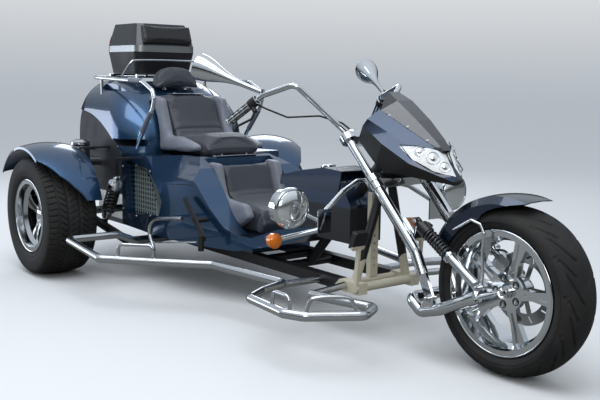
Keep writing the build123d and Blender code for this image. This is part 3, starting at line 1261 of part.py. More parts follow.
with BuildPart() as grab_sleeves:
    for hand in (-1, 1):
        for first, last in sleeve_ends:
            add(rod(rear(first[0], hand * first[1], first[2]), rear(last[0], hand * last[1], last[2]),
                    SLEEVE_RADIUS))
    add(grab_rails.part, mode=Mode.SUBTRACT)
save(grab_sleeves.part, "grab_sleeves")

# Tank cover over the backbone, open below and in front, and the black console under it
COVER_WALL = 5.0
COVER_HALF = 100.0
CONSOLE_HALF = COVER_HALF - COVER_WALL - SEAT_GAP
with BuildPart() as tank_cover:
    add(slab(side_plane(0, REAR_AXLE_X), [(1310, 606), (1316, 651), (1480, 690), (1643, 716), (1770, 709),
                                          (1750, 606)],
             2 * COVER_HALF))
    add(slab(side_plane(0, REAR_AXLE_X), [(1318, 560), (1322, 646), (1482, 685), (1643, 710), (1790, 703),
                                          (1790, 560)],
             2 * (COVER_HALF - COVER_WALL)), mode=Mode.SUBTRACT)
save(tank_cover.part, "tank_cover")
with BuildPart() as console_box:
    add(slab(side_plane(0, REAR_AXLE_X), [(1400, 436), (1340, 600), (1340, 649), (1480, 682), (1640, 705),
                                          (1720, 702),
                                          (1800, 600), (1830, 560), (1830, 385), (1440,
                                                                                  385)], 2 * CONSOLE_HALF))
    add(rod(backbone_low, backbone_high, BACKBONE_RADIUS + SEAT_GAP), mode=Mode.SUBTRACT)
    add(body_shell.part, mode=Mode.SUBTRACT)
save(console_box.part, "console_box")

# Pedals on the outer faces of the rails, and a hand lever on the right flank with its link cylinder
LEVER_Y = -408.0
with BuildPart() as controls:
    for hand in (-1, 1):
        y = hand * (RAIL_FACE + SEAT_GAP + 6)
        add(disc(side_plane(y, REAR_AXLE_X + 1985, TUBE_LEVEL), 16, 12))
        add(slab(side_plane(y, REAR_AXLE_X), [(1974, 222), (1996, 222), (2008, 400), (1990, 402)], 12))
        with BuildSketch(Plane(origin=rear(2004, hand * (RAIL_FACE + 13), 440), x_dir=(0, 1, 0),
                               z_dir=(-0.94, 0, 0.34))):
            RectangleRounded(72, 84, 10)
        extrude(amount=13, both=True)
    add(slab(side_plane(LEVER_Y, REAR_AXLE_X), [(902, 505), (930, 516), (946, 500), (1104, 344),
                                                (1112, 320), (1090, 314)], 12, 5))
    add(rod(rear(1020, LEVER_Y + 2, 408), rear(1020, LEVER_Y + 90, 408), 13))
    add(rod(rear(1104, LEVER_Y, 334), rear(1108, LEVER_Y - 26, 334), 7))
    add(rod(rear(1112, LEVER_Y - 25, 347), rear(1112, LEVER_Y - 25, 272), 15))
    add(hull_plan(SEAT_GAP), mode=Mode.SUBTRACT)
save(controls.part, "controls")

# Lamp bar with its two lamps and indicators
BAR_TUBE = 11.0
lamp_line = [(1850, BACKBONE_RADIUS + SEAT_GAP, 672), (1850, 75, 672), (1900, 200, 640), (1932, 335, 560),
             (1932, 360, 490),
             (1850, 520, 452)]
with BuildPart() as lamp_bar:
    for hand in (-1, 1):
        add(pipe([rear(x, hand * y, z) for x, y, z in lamp_line], 20, BAR_TUBE))
        add(rod(rear(1932, hand * 348, 524), rear(1890, hand * 430, 570), 9))
        add(block(rear(1936, min(hand * 300, hand * 372), 478),
                  rear(1942, max(hand * 300, hand * 372), 578)))
    add(rod(backbone_low, backbone_high, BACKBONE_RADIUS + SEAT_GAP), mode=Mode.SUBTRACT)
save(lamp_bar.part, "lamp_bar")
LAMP_RADIUS = 86.0
with BuildPart() as aux_lamps:
    for hand in (-1, 1):
        add(turned(REAR_AXLE_X + 1880, hand * 490, 590,
                   [(-88, 0), (-84, 28), (-60, 56), (-20, 80), (18, LAMP_RADIUS), (34, LAMP_RADIUS),
                    (38, 78), (46, 40),
                    (48, 0)]))
    add(lamp_bar.part, mode=Mode.SUBTRACT)
save(aux_lamps.part, "aux_lamps")
with BuildPart() as indicators:
    for hand in (-1, 1):
        add(turned(REAR_AXLE_X + 1848, hand * 540, 452, [(-34, 0), (-30, 18), (0, 30), (24, 32), (32, 22),
                                                         (36, 0)]))
    add(lamp_bar.part, mode=Mode.SUBTRACT)
save(indicators.part, "indicators")

# Tail: a bumper behind the engine bay with two lamps, and a blank number-plate holder under it
TAIL_HALF = 372.0
TAIL_BACK = -540.0
LAMP_INNER = 190.0
LAMP_WIDTH = 140.0
LAMP_FOOT = 528.0
LAMP_SPAN = 76.0
HOLDER_X = -REAR_OVERHANG + 2.5
HOLDER_HOLE = 3.25
HOLDER_SPACING = 160.0
with BuildPart() as tail_panel:
    add(slab(side_plane(0, REAR_AXLE_X), [(-470.3, 470), (-470.3, 700), (-500, 690), (TAIL_BACK, 630),
                                          (TAIL_BACK + 4, 500),
                                          (-505, 470)], 2 * TAIL_HALF))
    for hand in (-1, 1):
        spans = sorted((hand * LAMP_INNER, hand * (LAMP_INNER + LAMP_WIDTH)))
        add(block(rear(TAIL_BACK - 10, spans[0], LAMP_FOOT),
                  rear(TAIL_BACK + 26, spans[1], LAMP_FOOT + LAMP_SPAN)), mode=Mode.SUBTRACT)
save(tail_panel.part, "tail_panel")
with BuildPart() as tail_lamps:
    for hand in (-1, 1):
        spans = sorted((hand * (LAMP_INNER + SEAT_GAP), hand * (LAMP_INNER + LAMP_WIDTH - SEAT_GAP)))
        add(block(rear(TAIL_BACK - 6, spans[0], LAMP_FOOT + SEAT_GAP),
                  rear(TAIL_BACK + 26 - SEAT_GAP, spans[1], LAMP_FOOT + LAMP_SPAN - SEAT_GAP)))
save(tail_lamps.part, "tail_lamps")
with BuildPart() as plate_holder:
    with BuildSketch(cross_plane(REAR_AXLE_X + HOLDER_X, 0, 375)):
        RectangleRounded(280, 180, 12)
        with GridLocations(HOLDER_SPACING, 0, 2, 1):
            with Locations((0, 50)):
                Circle(HOLDER_HOLE, mode=Mode.SUBTRACT)
    extrude(amount=2.5, both=True)
    for y in (-70, 70):
        add(block(rear(HOLDER_X, y - 12, 452), rear(-510, y + 12, 470 - SEAT_GAP)))
save(plate_holder.part, "plate_holder")
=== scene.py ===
"""A motorized trike in a plain studio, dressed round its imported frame."""
from __future__ import annotations

import json
import logging
import math
from dataclasses import dataclass
from enum import Enum
from typing import Callable, Iterable, Sequence

import bmesh
import bpy
from mathutils import Matrix, Vector
from mathutils.bvhtree import BVHTree

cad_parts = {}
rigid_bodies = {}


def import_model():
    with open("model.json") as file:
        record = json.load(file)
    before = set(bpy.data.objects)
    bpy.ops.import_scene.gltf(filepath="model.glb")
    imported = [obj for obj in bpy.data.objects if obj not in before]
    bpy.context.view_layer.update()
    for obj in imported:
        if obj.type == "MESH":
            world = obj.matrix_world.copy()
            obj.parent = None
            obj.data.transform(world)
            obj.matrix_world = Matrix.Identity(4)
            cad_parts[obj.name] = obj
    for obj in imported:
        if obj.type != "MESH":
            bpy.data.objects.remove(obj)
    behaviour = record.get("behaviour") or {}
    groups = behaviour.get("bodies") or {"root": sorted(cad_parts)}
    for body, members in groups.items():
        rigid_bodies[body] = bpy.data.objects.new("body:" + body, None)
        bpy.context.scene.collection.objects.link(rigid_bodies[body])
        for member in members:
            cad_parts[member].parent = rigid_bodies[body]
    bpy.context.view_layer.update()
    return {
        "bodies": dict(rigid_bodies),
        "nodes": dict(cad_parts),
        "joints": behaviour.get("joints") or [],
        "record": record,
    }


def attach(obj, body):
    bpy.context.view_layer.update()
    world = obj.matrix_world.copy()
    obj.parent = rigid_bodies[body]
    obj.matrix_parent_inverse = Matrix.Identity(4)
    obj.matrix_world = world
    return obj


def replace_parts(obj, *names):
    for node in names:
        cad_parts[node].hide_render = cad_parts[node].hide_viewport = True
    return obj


log = logging.getLogger("trike")

Point = Sequence[float]
Place = tuple[float, float, float]
Pairs = Sequence[tuple[float, float]]
Shape = tuple[list[Vector], list[tuple[int, ...]]]

REAR_AXLE_X = -1.224
REAR_AXLE_Z = 0.336
REAR_WHEEL_Y = 0.743
FRONT_AXLE_X = 1.450
FRONT_AXLE_Z = 0.330
HEAD_X = 0.651
HEAD_Z = 0.865
DIAGONAL = math.sqrt(0.5)
NOSE_TILT = math.radians(36.0)
FAR = 9.0
UP = Vector((0.0, 0.0, 1.0))
AHEAD = Vector((1.0, 0.0, 0.0))
UP_THE_FORK = Vector((-DIAGONAL, 0.0, DIAGONAL))
SIDES = (("right", -1), ("left", 1))
# A noise's values lie mostly between these two, so patterns are spread from here
MOST_OF_A_NOISE = {"From_Min": 0.25, "From_Max": 0.75}
COLOURS = {"data_type": "RGBA"}


class Body(Enum):
    """The moving bodies of the trike."""

    CHASSIS = "chassis"
    FORK = "fork"
    FRONT_WHEEL = "front_wheel"
    RIGHT_WHEEL = "rear_wheel_right"
    LEFT_WHEEL = "rear_wheel_left"
    LID = "case_lid"


def rear(x: float, y: float, z: float) -> Vector:
    """A place measured forward from the rear axle."""
    return Vector((REAR_AXLE_X + x, y, z))


def head(x: float, y: float, z: float) -> Vector:
    """A place measured from the middle of the upper yoke."""
    return Vector((HEAD_X + x, y, HEAD_Z + z))


def fork_at(down: float, out: float, y: float = 0.0) -> Vector:
    """A place measured down the steering axis and out ahead of it."""
    return Vector((HEAD_X + (down + out) * DIAGONAL, y, HEAD_Z + (out - down) * DIAGONAL))


def nose_at(along: float, y: float, up: float) -> Vector:
    """A place measured along the tilted nose line of the fairing.

    Args:
        along: down the nose line from its top end.
        y: to the left.
        up: square to the nose line.

    Returns:
        The place in the shared frame.
    """
    ahead = Vector((math.cos(NOSE_TILT), 0.0, -math.sin(NOSE_TILT)))
    above = Vector((math.sin(NOSE_TILT), 0.0, math.cos(NOSE_TILT)))
    return head(0.115, y, 0.095) + ahead * along + above * up


def about(centre: Vector, radius: float, turn: float, out: float = 0.0) -> Vector:
    """A place at an angle round a wheel's axle, and out along it."""
    return centre + Vector((radius * math.cos(turn), out, radius * math.sin(turn)))


def linear(hex_colour: str) -> tuple[float, float, float, float]:
    """Turns an sRGB hex colour into linear light.

    Args:
        hex_colour: six hex digits after a hash sign.

    Returns:
        Red, green, blue and an alpha of one.
    """
    parts = [int(hex_colour[i:i + 2], 16) / 255.0 for i in (1, 3, 5)]
    red, green, blue = (c / 12.92 if c <= 0.04045 else ((c + 0.055) / 1.055) ** 2.4 for c in parts)
    return (red, green, blue, 1.0)


def add_node(tree: bpy.types.NodeTree, kind: str, settings: dict | None = None,
             into: tuple[int | str, bpy.types.Node, str] | None = None, **inputs) -> bpy.types.Node:
    """Adds one shader node with its settings, values and links.

    Args:
        tree: the material's or world's node tree.
        kind: the node's type name, without the part that all of them share.
        settings: properties of the node itself.
        into: the output to link on, the node it leads to, and that node's socket.
        **inputs: a value for a socket, or a pair of node and output name to link; underscores stand for
            spaces, and a name of i and a number is a socket's place.

    Returns:
        The new node.
    """
    node = tree.nodes.new("ShaderNode" + kind)
    for key, value in (settings or {}).items():
        setattr(node, key, value)
    for key, value in inputs.items():
        socket = node.inputs[int(key[1:]) if key[1:].isdigit() else key.replace("_", " ")]
        if isinstance(value, tuple) and isinstance(value[0], bpy.types.Node):
            tree.links.new(value[0].outputs[value[1]], socket)
        else:
            socket.default_value = value
    if into is not None:
        output, following, name = into
        tree.links.new(node.outputs[output], following.inputs[name])
    return node


@dataclass(frozen=True)
class Finish:
    """What a surface is made of and how it was made. Subclasses add what shows close up."""

    name: str
    colour: str
    metallic: float = 0.0
    roughness: float = 0.5
    coat: float = 0.0
    coat_roughness: float = 0.03
    sheen: float = 0.0
    transmission: float = 0.0
    ior: float = 1.5
    alpha: float = 1.0
    slot: str = ""

    def material(self) -> bpy.types.Material:
        """Makes the material once and returns it from then on.

        Returns:
            The material, named as the finish.
        """
        made = bpy.data.materials.get(self.name)
        if made is not None:
            return made
        made = bpy.data.materials.new(self.name)
        made.use_nodes = True
        shader = made.node_tree.nodes["Principled BSDF"]
        values = {"Base Color": linear(self.colour), "Metallic": self.metallic, "Roughness": self.roughness,
                  "Coat Weight": self.coat, "Coat Roughness": self.coat_roughness, "Sheen Weight": self.sheen,
                  "Transmission Weight": self.transmission, "Alpha": self.alpha}
        if not self.metallic:
            values["IOR"] = self.ior
        for socket, value in values.items():
            shader.inputs[socket].default_value = value
        self.pattern(made.node_tree, shader)
        return made

    def pattern(self, tree: bpy.types.NodeTree, shader: bpy.types.Node) -> None:
        """Adds the surface pattern; the plain finish has a faint cloudiness in its gloss.

        Args:
            tree: the material's node tree.
            shader: its surface node.
        """
        place = add_node(tree, "TexCoord")
        clouds = add_node(tree, "TexNoise", Vector=(place, "Object"), Scale=18.0, Detail=3.0)
        add_node(tree, "MapRange", None, ("Result", shader, "Roughness"), Value=(clouds, "Fac"),
                 To_Min=max(self.roughness - 0.05, 0.0), To_Max=self.roughness + 0.07, **MOST_OF_A_NOISE)


@dataclass(frozen=True)
class MetallicPaint(Finish):
    """Sprayed base coat with aluminium flakes under clear lacquer; deep at grazing angles, partly flop and
    partly painted shade.
    """

    # deep: the colour towards grazing angles, partly painted shade
    deep: str = "#0c1a33"
    flake_mm: float = 0.9

    def pattern(self, tree: bpy.types.NodeTree, shader: bpy.types.Node) -> None:
        """Flakes tilt the base's shine, each cell its own way; coarser than real ones so that they show.

        Args:
            tree: the material's node tree.
            shader: its surface node.
        """
        place = add_node(tree, "TexCoord")
        flakes = add_node(tree, "TexVoronoi", Vector=(place, "Object"), Scale=1000.0 / self.flake_mm)
        # Painted shade, partly flop: the colour runs from the base tone to the deep one as the surface turns
        # away from the camera
        rim = add_node(tree, "LayerWeight", Blend=0.42)
        add_node(tree, "Mix", COLOURS, (2, shader, "Base Color"), i0=(rim, "Facing"), i6=linear(self.colour),
                 i7=linear(self.deep))
        grey = add_node(tree, "RGBToBW", Color=(flakes, "Color"))
        add_node(tree, "Bump", None, ("Normal", shader, "Normal"), Height=(grey, "Val"), Strength=0.06,
                 Distance=0.0004)
        add_node(tree, "MapRange", None, ("Result", shader, "Roughness"), Value=(grey, "Val"),
                 To_Min=self.roughness - 0.05, To_Max=self.roughness + 0.07, **MOST_OF_A_NOISE)


@dataclass(frozen=True)
class PolishedMetal(Finish):
    """Plated or polished metal: a near mirror with faint polishing haze."""

    haze_mm: float = 60.0

    def pattern(self, tree: bpy.types.NodeTree, shader: bpy.types.Node) -> None:
        """Broad haze in the roughness and a slight waviness of the reflection.

        Args:
            tree: the material's node tree.
            shader: its surface node.
        """
        place = add_node(tree, "TexCoord")
        haze = add_node(tree, "TexNoise", Vector=(place, "Object"), Scale=1000.0 / self.haze_mm, Detail=4.0)
        add_node(tree, "MapRange", None, ("Result", shader, "Roughness"), Value=(haze, "Fac"),
                 To_Min=self.roughness * 0.6, To_Max=self.roughness * 1.5, **MOST_OF_A_NOISE)
        add_node(tree, "Bump", None, ("Normal", shader, "Normal"), Height=(haze, "Fac"), Strength=0.02,
                 Distance=0.002)


@dataclass(frozen=True)
class BrushedMetal(Finish):
    """Turned or brushed metal with fine parallel scratches along one axis."""

    line_mm: float = 0.8
    stretch: Place = (1.0, 0.04, 1.0)

    def pattern(self, tree: bpy.types.NodeTree, shader: bpy.types.Node) -> None:
        """Stretched noise gives scratches; drawn a little coarser than real ones so that they show.

        Args:
            tree: the material's node tree.
            shader: its surface node.
        """
        place = add_node(tree, "TexCoord")
        long = add_node(tree, "Mapping", Vector=(place, "Object"), Scale=self.stretch)
        lines = add_node(tree, "TexNoise", Vector=(long, "Vector"), Scale=1000.0 / self.line_mm, Detail=2.0)
        add_node(tree, "MapRange", None, ("Result", shader, "Roughness"), Value=(lines, "Fac"),
                 To_Min=self.roughness - 0.06, To_Max=self.roughness + 0.14, **MOST_OF_A_NOISE)
        add_node(tree, "Bump", None, ("Normal", shader, "Normal"), Height=(lines, "Fac"), Strength=0.12,
                 Distance=0.0004)


@dataclass(frozen=True)
class GrainedPolymer(Finish):
    """Moulded plastic, rubber or coated metal with a fine spark-eroded or powder grain."""

    grain_mm: float = 1.2
    relief: float = 0.25
    dust: str = ""

    def pattern(self, tree: bpy.types.NodeTree, shader: bpy.types.Node) -> None:
        """Grain in the bump and, where the piece meets the road, pale dust in patches.

        Args:
            tree: the material's node tree.
            shader: its surface node.
        """
        place = add_node(tree, "TexCoord")
        grain = add_node(tree, "TexNoise", Vector=(place, "Object"), Scale=1000.0 / self.grain_mm, Detail=3.0)
        add_node(tree, "Bump", None, ("Normal", shader, "Normal"), Height=(grain, "Fac"),
                 Strength=self.relief, Distance=0.0006)
        patches = add_node(tree, "TexNoise", Vector=(place, "Object"), Scale=9.0, Detail=6.0)
        add_node(tree, "MapRange", None, ("Result", shader, "Roughness"), Value=(patches, "Fac"),
                 To_Min=max(self.roughness - 0.06, 0.0), To_Max=min(self.roughness + 0.12, 1.0),
                 **MOST_OF_A_NOISE)
        if self.dust:
            cover = add_node(tree, "MapRange", Value=(patches, "Fac"), From_Min=0.42, From_Max=0.78,
                             To_Max=0.55)
            add_node(tree, "Mix", COLOURS, (2, shader, "Base Color"), i0=(cover, "Result"),
                     i6=linear(self.colour), i7=linear(self.dust))


@dataclass(frozen=True)
class Hide(Finish):
    """Coated upholstery leather: pebble grain a few millimetres across with finer pores, and a soft sheen."""

    pebble_mm: float = 3.2
    crease: str = "#22252b"

    def pattern(self, tree: bpy.types.NodeTree, shader: bpy.types.Node) -> None:
        """Cells for pebbles, their creases darker and deeper, and wide soft wear.

        Args:
            tree: the material's node tree.
            shader: its surface node.
        """
        place = add_node(tree, "TexCoord")
        cells = add_node(tree, "TexVoronoi", {"feature": "DISTANCE_TO_EDGE"}, Vector=(place, "Object"),
                         Scale=1000.0 / self.pebble_mm)
        edge = add_node(tree, "MapRange", Value=(cells, "Distance"), From_Max=0.22)
        worn = add_node(tree, "TexNoise", Vector=(place, "Object"), Scale=7.0, Detail=5.0)
        tone = add_node(tree, "Mix", COLOURS, i0=(edge, "Result"), i6=linear(self.crease),
                        i7=linear(self.colour))
        bright = add_node(tree, "HueSaturation", None, ("Color", shader, "Base Color"), Color=(tone, 2))
        add_node(tree, "MapRange", None, ("Result", bright, "Value"), Value=(worn, "Fac"), To_Min=0.86,
                 To_Max=1.12, **MOST_OF_A_NOISE)
        add_node(tree, "Bump", None, ("Normal", shader, "Normal"), Height=(edge, "Result"), Strength=0.22,
                 Distance=0.0008)
        add_node(tree, "MapRange", None, ("Result", shader, "Roughness"), Value=(worn, "Fac"),
                 To_Min=self.roughness - 0.08, To_Max=self.roughness + 0.08, **MOST_OF_A_NOISE)


@dataclass(frozen=True)
class TwoTone(Finish):
    """One casting with two finishes that meet at a distance from its axis, as a machined wheel has."""

    other: str = "#22252a"
    other_roughness: float = 0.5
    centre: Place = (0.0, 0.0, 0.0)
    reach: float = 0.19
    face_y: float = 0.05
    outward: float = -1.0

    def pattern(self, tree: bpy.types.NodeTree, shader: bpy.types.Node) -> None:
        """Bright beyond the reach or on the outer face, dark in the dish between them.

        Args:
            tree: the material's node tree.
            shader: its surface node.
        """
        place = add_node(tree, "TexCoord")
        local = add_node(tree, "VectorMath", {"operation": "SUBTRACT"}, i0=(place, "Object"), i1=self.centre)
        flat = add_node(tree, "VectorMath", {"operation": "MULTIPLY"}, i0=(local, "Vector"),
                        i1=(1.0, 0.0, 1.0))
        radius = add_node(tree, "VectorMath", {"operation": "LENGTH"}, i0=(flat, "Vector"))
        lip = add_node(tree, "Math", {"operation": "GREATER_THAN"}, i0=(radius, "Value"), i1=self.reach)
        parts = add_node(tree, "SeparateXYZ", Vector=(local, "Vector"))
        depth = add_node(tree, "Math", {"operation": "MULTIPLY"}, i0=(parts, "Y"), i1=self.outward)
        face = add_node(tree, "Math", {"operation": "GREATER_THAN"}, i0=(depth, "Value"), i1=self.face_y)
        bright = add_node(tree, "Math", {"operation": "MAXIMUM"}, i0=(lip, "Value"), i1=(face, "Value"))
        add_node(tree, "Mix", COLOURS, (2, shader, "Base Color"), i0=(bright, "Value"), i6=linear(self.other),
                 i7=linear(self.colour))
        add_node(tree, "MapRange", None, ("Result", shader, "Roughness"), Value=(bright, "Value"),
                 To_Min=self.other_roughness, To_Max=self.roughness)


@dataclass(frozen=True)
class Split(Finish):
    """Two finishes on one CAD node that meet at a plane, as a plated end and a painted body do."""

    other: Finish | None = None
    normal: Place = (1.0, 0.0, 0.0)
    offset: float = 0.0
    wear: float = 0.12

    def pattern(self, tree: bpy.types.NodeTree, shader: bpy.types.Node) -> None:
        """Past the plane the colour, metal, gloss and lacquer are the other finish's.

        Args:
            tree: the material's node tree.
            shader: its surface node.
        """
        place = add_node(tree, "TexCoord")
        reach = add_node(tree, "VectorMath", {"operation": "DOT_PRODUCT"}, i0=(place, "Object"),
                         i1=self.normal)
        past = add_node(tree, "Math", {"operation": "GREATER_THAN"}, i0=(reach, "Value"), i1=self.offset)
        add_node(tree, "Mix", COLOURS, (2, shader, "Base Color"), i0=(past, "Value"), i6=linear(self.colour),
                 i7=linear(self.other.colour))
        for socket, low, high in (("Metallic", self.metallic, self.other.metallic),
                                  ("Coat Weight", self.coat, self.other.coat)):
            add_node(tree, "MapRange", None, ("Result", shader, socket), Value=(past, "Value"), To_Min=low,
                     To_Max=high)
        clouds = add_node(tree, "TexNoise", Vector=(place, "Object"), Scale=120.0, Detail=3.0)
        wear = add_node(tree, "Math", {"operation": "MULTIPLY"}, i0=(clouds, "Fac"), i1=self.wear)
        gloss = add_node(tree, "MapRange", Value=(past, "Value"), To_Min=self.roughness,
                         To_Max=self.other.roughness)
        add_node(tree, "Math", {"operation": "ADD"}, ("Value", shader, "Roughness"), i0=(gloss, "Result"),
                 i1=(wear, "Value"))


# Sprayed metallic lacquer: sky blue where the surface faces the camera, darkening to near navy where it turns
# away, partly the paint's flop and partly painted shade
BLUE_PAINT = MetallicPaint("blue_metallic_lacquer", "#34597f", metallic=0.80, roughness=0.25, coat=1.0,
                           deep="#0a1526", slot="body_paint")
NAVY_PAINT = MetallicPaint("navy_metallic_lacquer", "#1d3049", metallic=0.82, roughness=0.25, coat=1.0,
                           deep="#060b15", slot="body_paint")
# Plated steel tube and castings: a cold mirror
CHROME = PolishedMetal("chromium_plate_polished", "#d9dde0", metallic=1.0, roughness=0.07, slot="chrome")
STAINLESS = PolishedMetal("stainless_tube_polished", "#c9cccf", metallic=1.0, roughness=0.16, slot="chrome")
# Cast aluminium polished by hand: softer and greyer than plate
ALLOY = PolishedMetal("cast_aluminium_polished", "#cfd2d4", metallic=1.0, roughness=0.22, slot="damper_alloy")
SATIN_ALLOY = BrushedMetal("aluminium_sheet_brushed", "#b4b7b9", metallic=1.0, roughness=0.34,
                           slot="band_aluminium")
DISC_STEEL = BrushedMetal("disc_steel_ground", "#9a9b9c", metallic=1.0, roughness=0.30, line_mm=1.2,
                          slot="disc_steel")
ZINC = PolishedMetal("bolt_steel_zinc_plated", "#c3c5c4", metallic=1.0, roughness=0.24, haze_mm=8.0,
                     slot="chrome")
# Powder coat on steel: black, a soft shine with an orange-peel grain
POWDER_BLACK = GrainedPolymer("steel_powder_coated_black", "#101114", roughness=0.36, grain_mm=2.5,
                              relief=0.12, slot="frame_black")
CREAM_COAT = GrainedPolymer("steel_powder_coated_cream", "#cfc9b4", roughness=0.42, grain_mm=2.5, relief=0.10,
                            slot="frame_black")
# Moulded ABS with an eroded grain: dull dark grey
ABS_BLACK = GrainedPolymer("abs_moulded_black", "#15161a", roughness=0.50, grain_mm=1.0, relief=0.30,
                           slot="case_plastic")
ABS_GLOSS = GrainedPolymer("abs_gloss_charcoal", "#2c2e33", roughness=0.22, grain_mm=9.0, relief=0.03,
                           coat=0.4, slot="case_plastic")
LINER_GREY = GrainedPolymer("glass_fibre_liner_grey", "#25282d", roughness=0.58, grain_mm=3.0, relief=0.25,
                            slot="case_plastic")
BUTTON_GREY = GrainedPolymer("abs_button_grey", "#4b4e52", roughness=0.45, slot="case_plastic")
# Vulcanised rubber: dead black with a brown bloom and road dust
TYRE_RUBBER = GrainedPolymer("tyre_rubber_vulcanised", "#131416", roughness=0.72, grain_mm=0.9, relief=0.35,
                             dust="#3a3731", slot="tyre_rubber")
SOFT_RUBBER = GrainedPolymer("nitrile_rubber_moulded", "#0f1012", roughness=0.62, grain_mm=0.8, relief=0.30,
                             slot="grip_rubber")
SLEEVE_GREY = GrainedPolymer("pvc_sleeve_grey", "#6f7480", roughness=0.48, grain_mm=1.5, relief=0.2,
                             slot="grip_rubber")
# Coated leather, slate in the middle and pale grey on the raised edges
SLATE_HIDE = Hide("leather_slate_grained", "#3d414b", roughness=0.46, sheen=0.15, crease="#2b2e36",
                  slot="seat_leather")
PALE_HIDE = Hide("leather_pale_grey_grained", "#80848f", roughness=0.42, sheen=0.15, crease="#6c707b",
                 slot="seat_leather")
BLACK_HIDE = Hide("leather_black_grained", "#17181b", roughness=0.40, sheen=0.1, crease="#0d0e10",
                  slot="seat_leather")
THREAD = GrainedPolymer("polyester_thread_twisted", "#9498a2", roughness=0.6, grain_mm=0.6, relief=0.4,
                        slot="seat_leather")
# Acrylic and polycarbonate
SMOKE_SCREEN = Finish("polycarbonate_smoke_tint", "#151a22", roughness=0.04, coat=1.0, ior=1.58, alpha=0.88,
                      slot="screen_tint")
CLEAR_LENS = Finish("polycarbonate_clear_moulded", "#f4f7f9", roughness=0.02, transmission=1.0, ior=1.45,
                    slot="lamp_glass")
AMBER_LENS = Finish("acrylic_amber_moulded", "#ff8a12", roughness=0.10, transmission=0.35, ior=1.49, coat=0.5,
                    slot="lamp_glass")
FLUTED_GLASS = PolishedMetal("lamp_glass_over_reflector", "#e9eef0", metallic=0.85, roughness=0.09, coat=1.0,
                             haze_mm=9.0, slot="lamp_glass")
LENS_SHELL = Finish("polycarbonate_lens_shell", "#ffffff", roughness=0.02, ior=1.45, alpha=0.16, coat=1.0,
                    slot="lamp_glass")
RED_LENS = Finish("acrylic_red_moulded", "#b01014", roughness=0.10, transmission=0.25, ior=1.49, coat=0.5,
                  slot="lamp_glass")
REFLECTOR = PolishedMetal("reflector_vacuum_metallised", "#f2f4f5", metallic=1.0, roughness=0.10,
                          slot="chrome")
LAMP_WHITE = Finish("lamp_housing_white_gloss", "#eef1f2", roughness=0.25, coat=0.3, slot="lamp_glass")
MIRROR_GLASS = PolishedMetal("mirror_glass_silvered", "#e4e8ea", metallic=1.0, roughness=0.02, slot="chrome")
MESH_METAL = GrainedPolymer("expanded_mesh_coated_grey", "#b3bdb6", metallic=0.6, roughness=0.42,
                            grain_mm=1.5, slot="mesh_steel")
# Painted shade: a near-black matt tube stands for the shade inside the body's hatch gaps
HATCH_GAP_SHADE = GrainedPolymer("painted_gap_shade_black", "#08090b", roughness=0.8, slot="frame_black")
SHOCK_WAY = (0.8357, 0.0, -0.5493)
# Pedals: rubber pads above, cream powder coat on the arms below
PEDAL_COAT = Split("pedal_rubber_and_cream_arm", "#121315", roughness=0.5, other=CREAM_COAT,
                   normal=(1.0, 0.0, -3.0), offset=-0.46)
# Frame: black powder coat, and cream on its front tubes and on the perforated post
FRAME_COAT = Split("frame_black_with_cream_front", "#101114", roughness=0.36, other=CREAM_COAT,
                   normal=(1.0, 0.0, -1.0), offset=0.40)
BRACKET_COAT = Split("brackets_black_and_cream_post", "#141518", roughness=0.4, other=CREAM_COAT, offset=0.4)
# Console: lacquered above the seam and black plastic below it
CONSOLE_COAT = Split("console_navy_above_black", "#101217", roughness=0.45, other=NAVY_PAINT,
                     normal=(0.0, 0.0, 1.0), offset=0.545)
# Dampers: a black spring cap above and a bright polished tube below
FRONT_DAMPER = Split("damper_black_cap_and_polished_tube", "#101114", roughness=0.28, other=CHROME,
                     normal=SHOCK_WAY, offset=0.700)
# Machined five-spoke rear wheels: a bright lip and spoke faces, dark in the dish behind them
REAR_RIMS = {hand: TwoTone("rim_machined_lip_dark_dish_" + side, "#c9ccce", metallic=1.0, roughness=0.16,
                           other="#33363b", other_roughness=0.32, reach=0.186, face_y=0.050,
                           outward=float(hand), centre=(REAR_AXLE_X, hand * REAR_WHEEL_Y, REAR_AXLE_Z))
             for side, hand in SIDES}

NODE_FINISHES: dict[str, Finish] = {
    "frame": FRAME_COAT, "brackets": BRACKET_COAT, "arch_liners": LINER_GREY, "body_shell": BLUE_PAINT,
    "intake_grilles": MESH_METAL, "engine": ALLOY, "rear_axle": ZINC, "trailing_arms": POWDER_BLACK,
    "rear_shocks": ALLOY, "rear_springs": POWDER_BLACK, "rear_fender_right": BLUE_PAINT,
    "rear_fender_left": BLUE_PAINT, "exhaust_cans": STAINLESS, "rear_seat": SLATE_HIDE,
    "front_seat": SLATE_HIDE, "seat_bolsters": PALE_HIDE, "headrest": SLATE_HIDE, "case_tub": ABS_BLACK,
    "case_band": SATIN_ALLOY, "luggage_rack": CHROME, "side_rail_right": STAINLESS,
    "side_rail_left": STAINLESS, "grab_rails": CHROME, "grab_sleeves": SLEEVE_GREY,
    "tank_cover": NAVY_PAINT, "console_box": CONSOLE_COAT, "controls": PEDAL_COAT, "lamp_bar": CHROME,
    "aux_lamps": CHROME, "indicators": CHROME, "tail_panel": ABS_BLACK, "tail_lamps": RED_LENS,
    "plate_holder": ABS_BLACK, "fork": CHROME, "swing_arm": CHROME, "front_shocks": FRONT_DAMPER,
    "front_springs": ABS_GLOSS, "front_axle": ZINC, "brake_caliper": ALLOY, "front_fender": NAVY_PAINT,
    "front_stays": CHROME, "handlebar": CHROME, "grips": CHROME, "switchgear": ABS_BLACK,
    "mirrors": CHROME, "headlights": LAMP_WHITE, "fairing": NAVY_PAINT, "fairing_pan": ABS_BLACK,
    "windscreen": SMOKE_SCREEN, "bar_cable": SOFT_RUBBER, "front_tyre": TYRE_RUBBER, "front_rim": CHROME,
    "brake_disc": DISC_STEEL, "rear_tyre_right": TYRE_RUBBER, "rear_tyre_left": TYRE_RUBBER,
    "rear_rim_right": REAR_RIMS[-1], "rear_rim_left": REAR_RIMS[1], "case_lid": ABS_GLOSS,
    "case_pad": SLATE_HIDE,
}


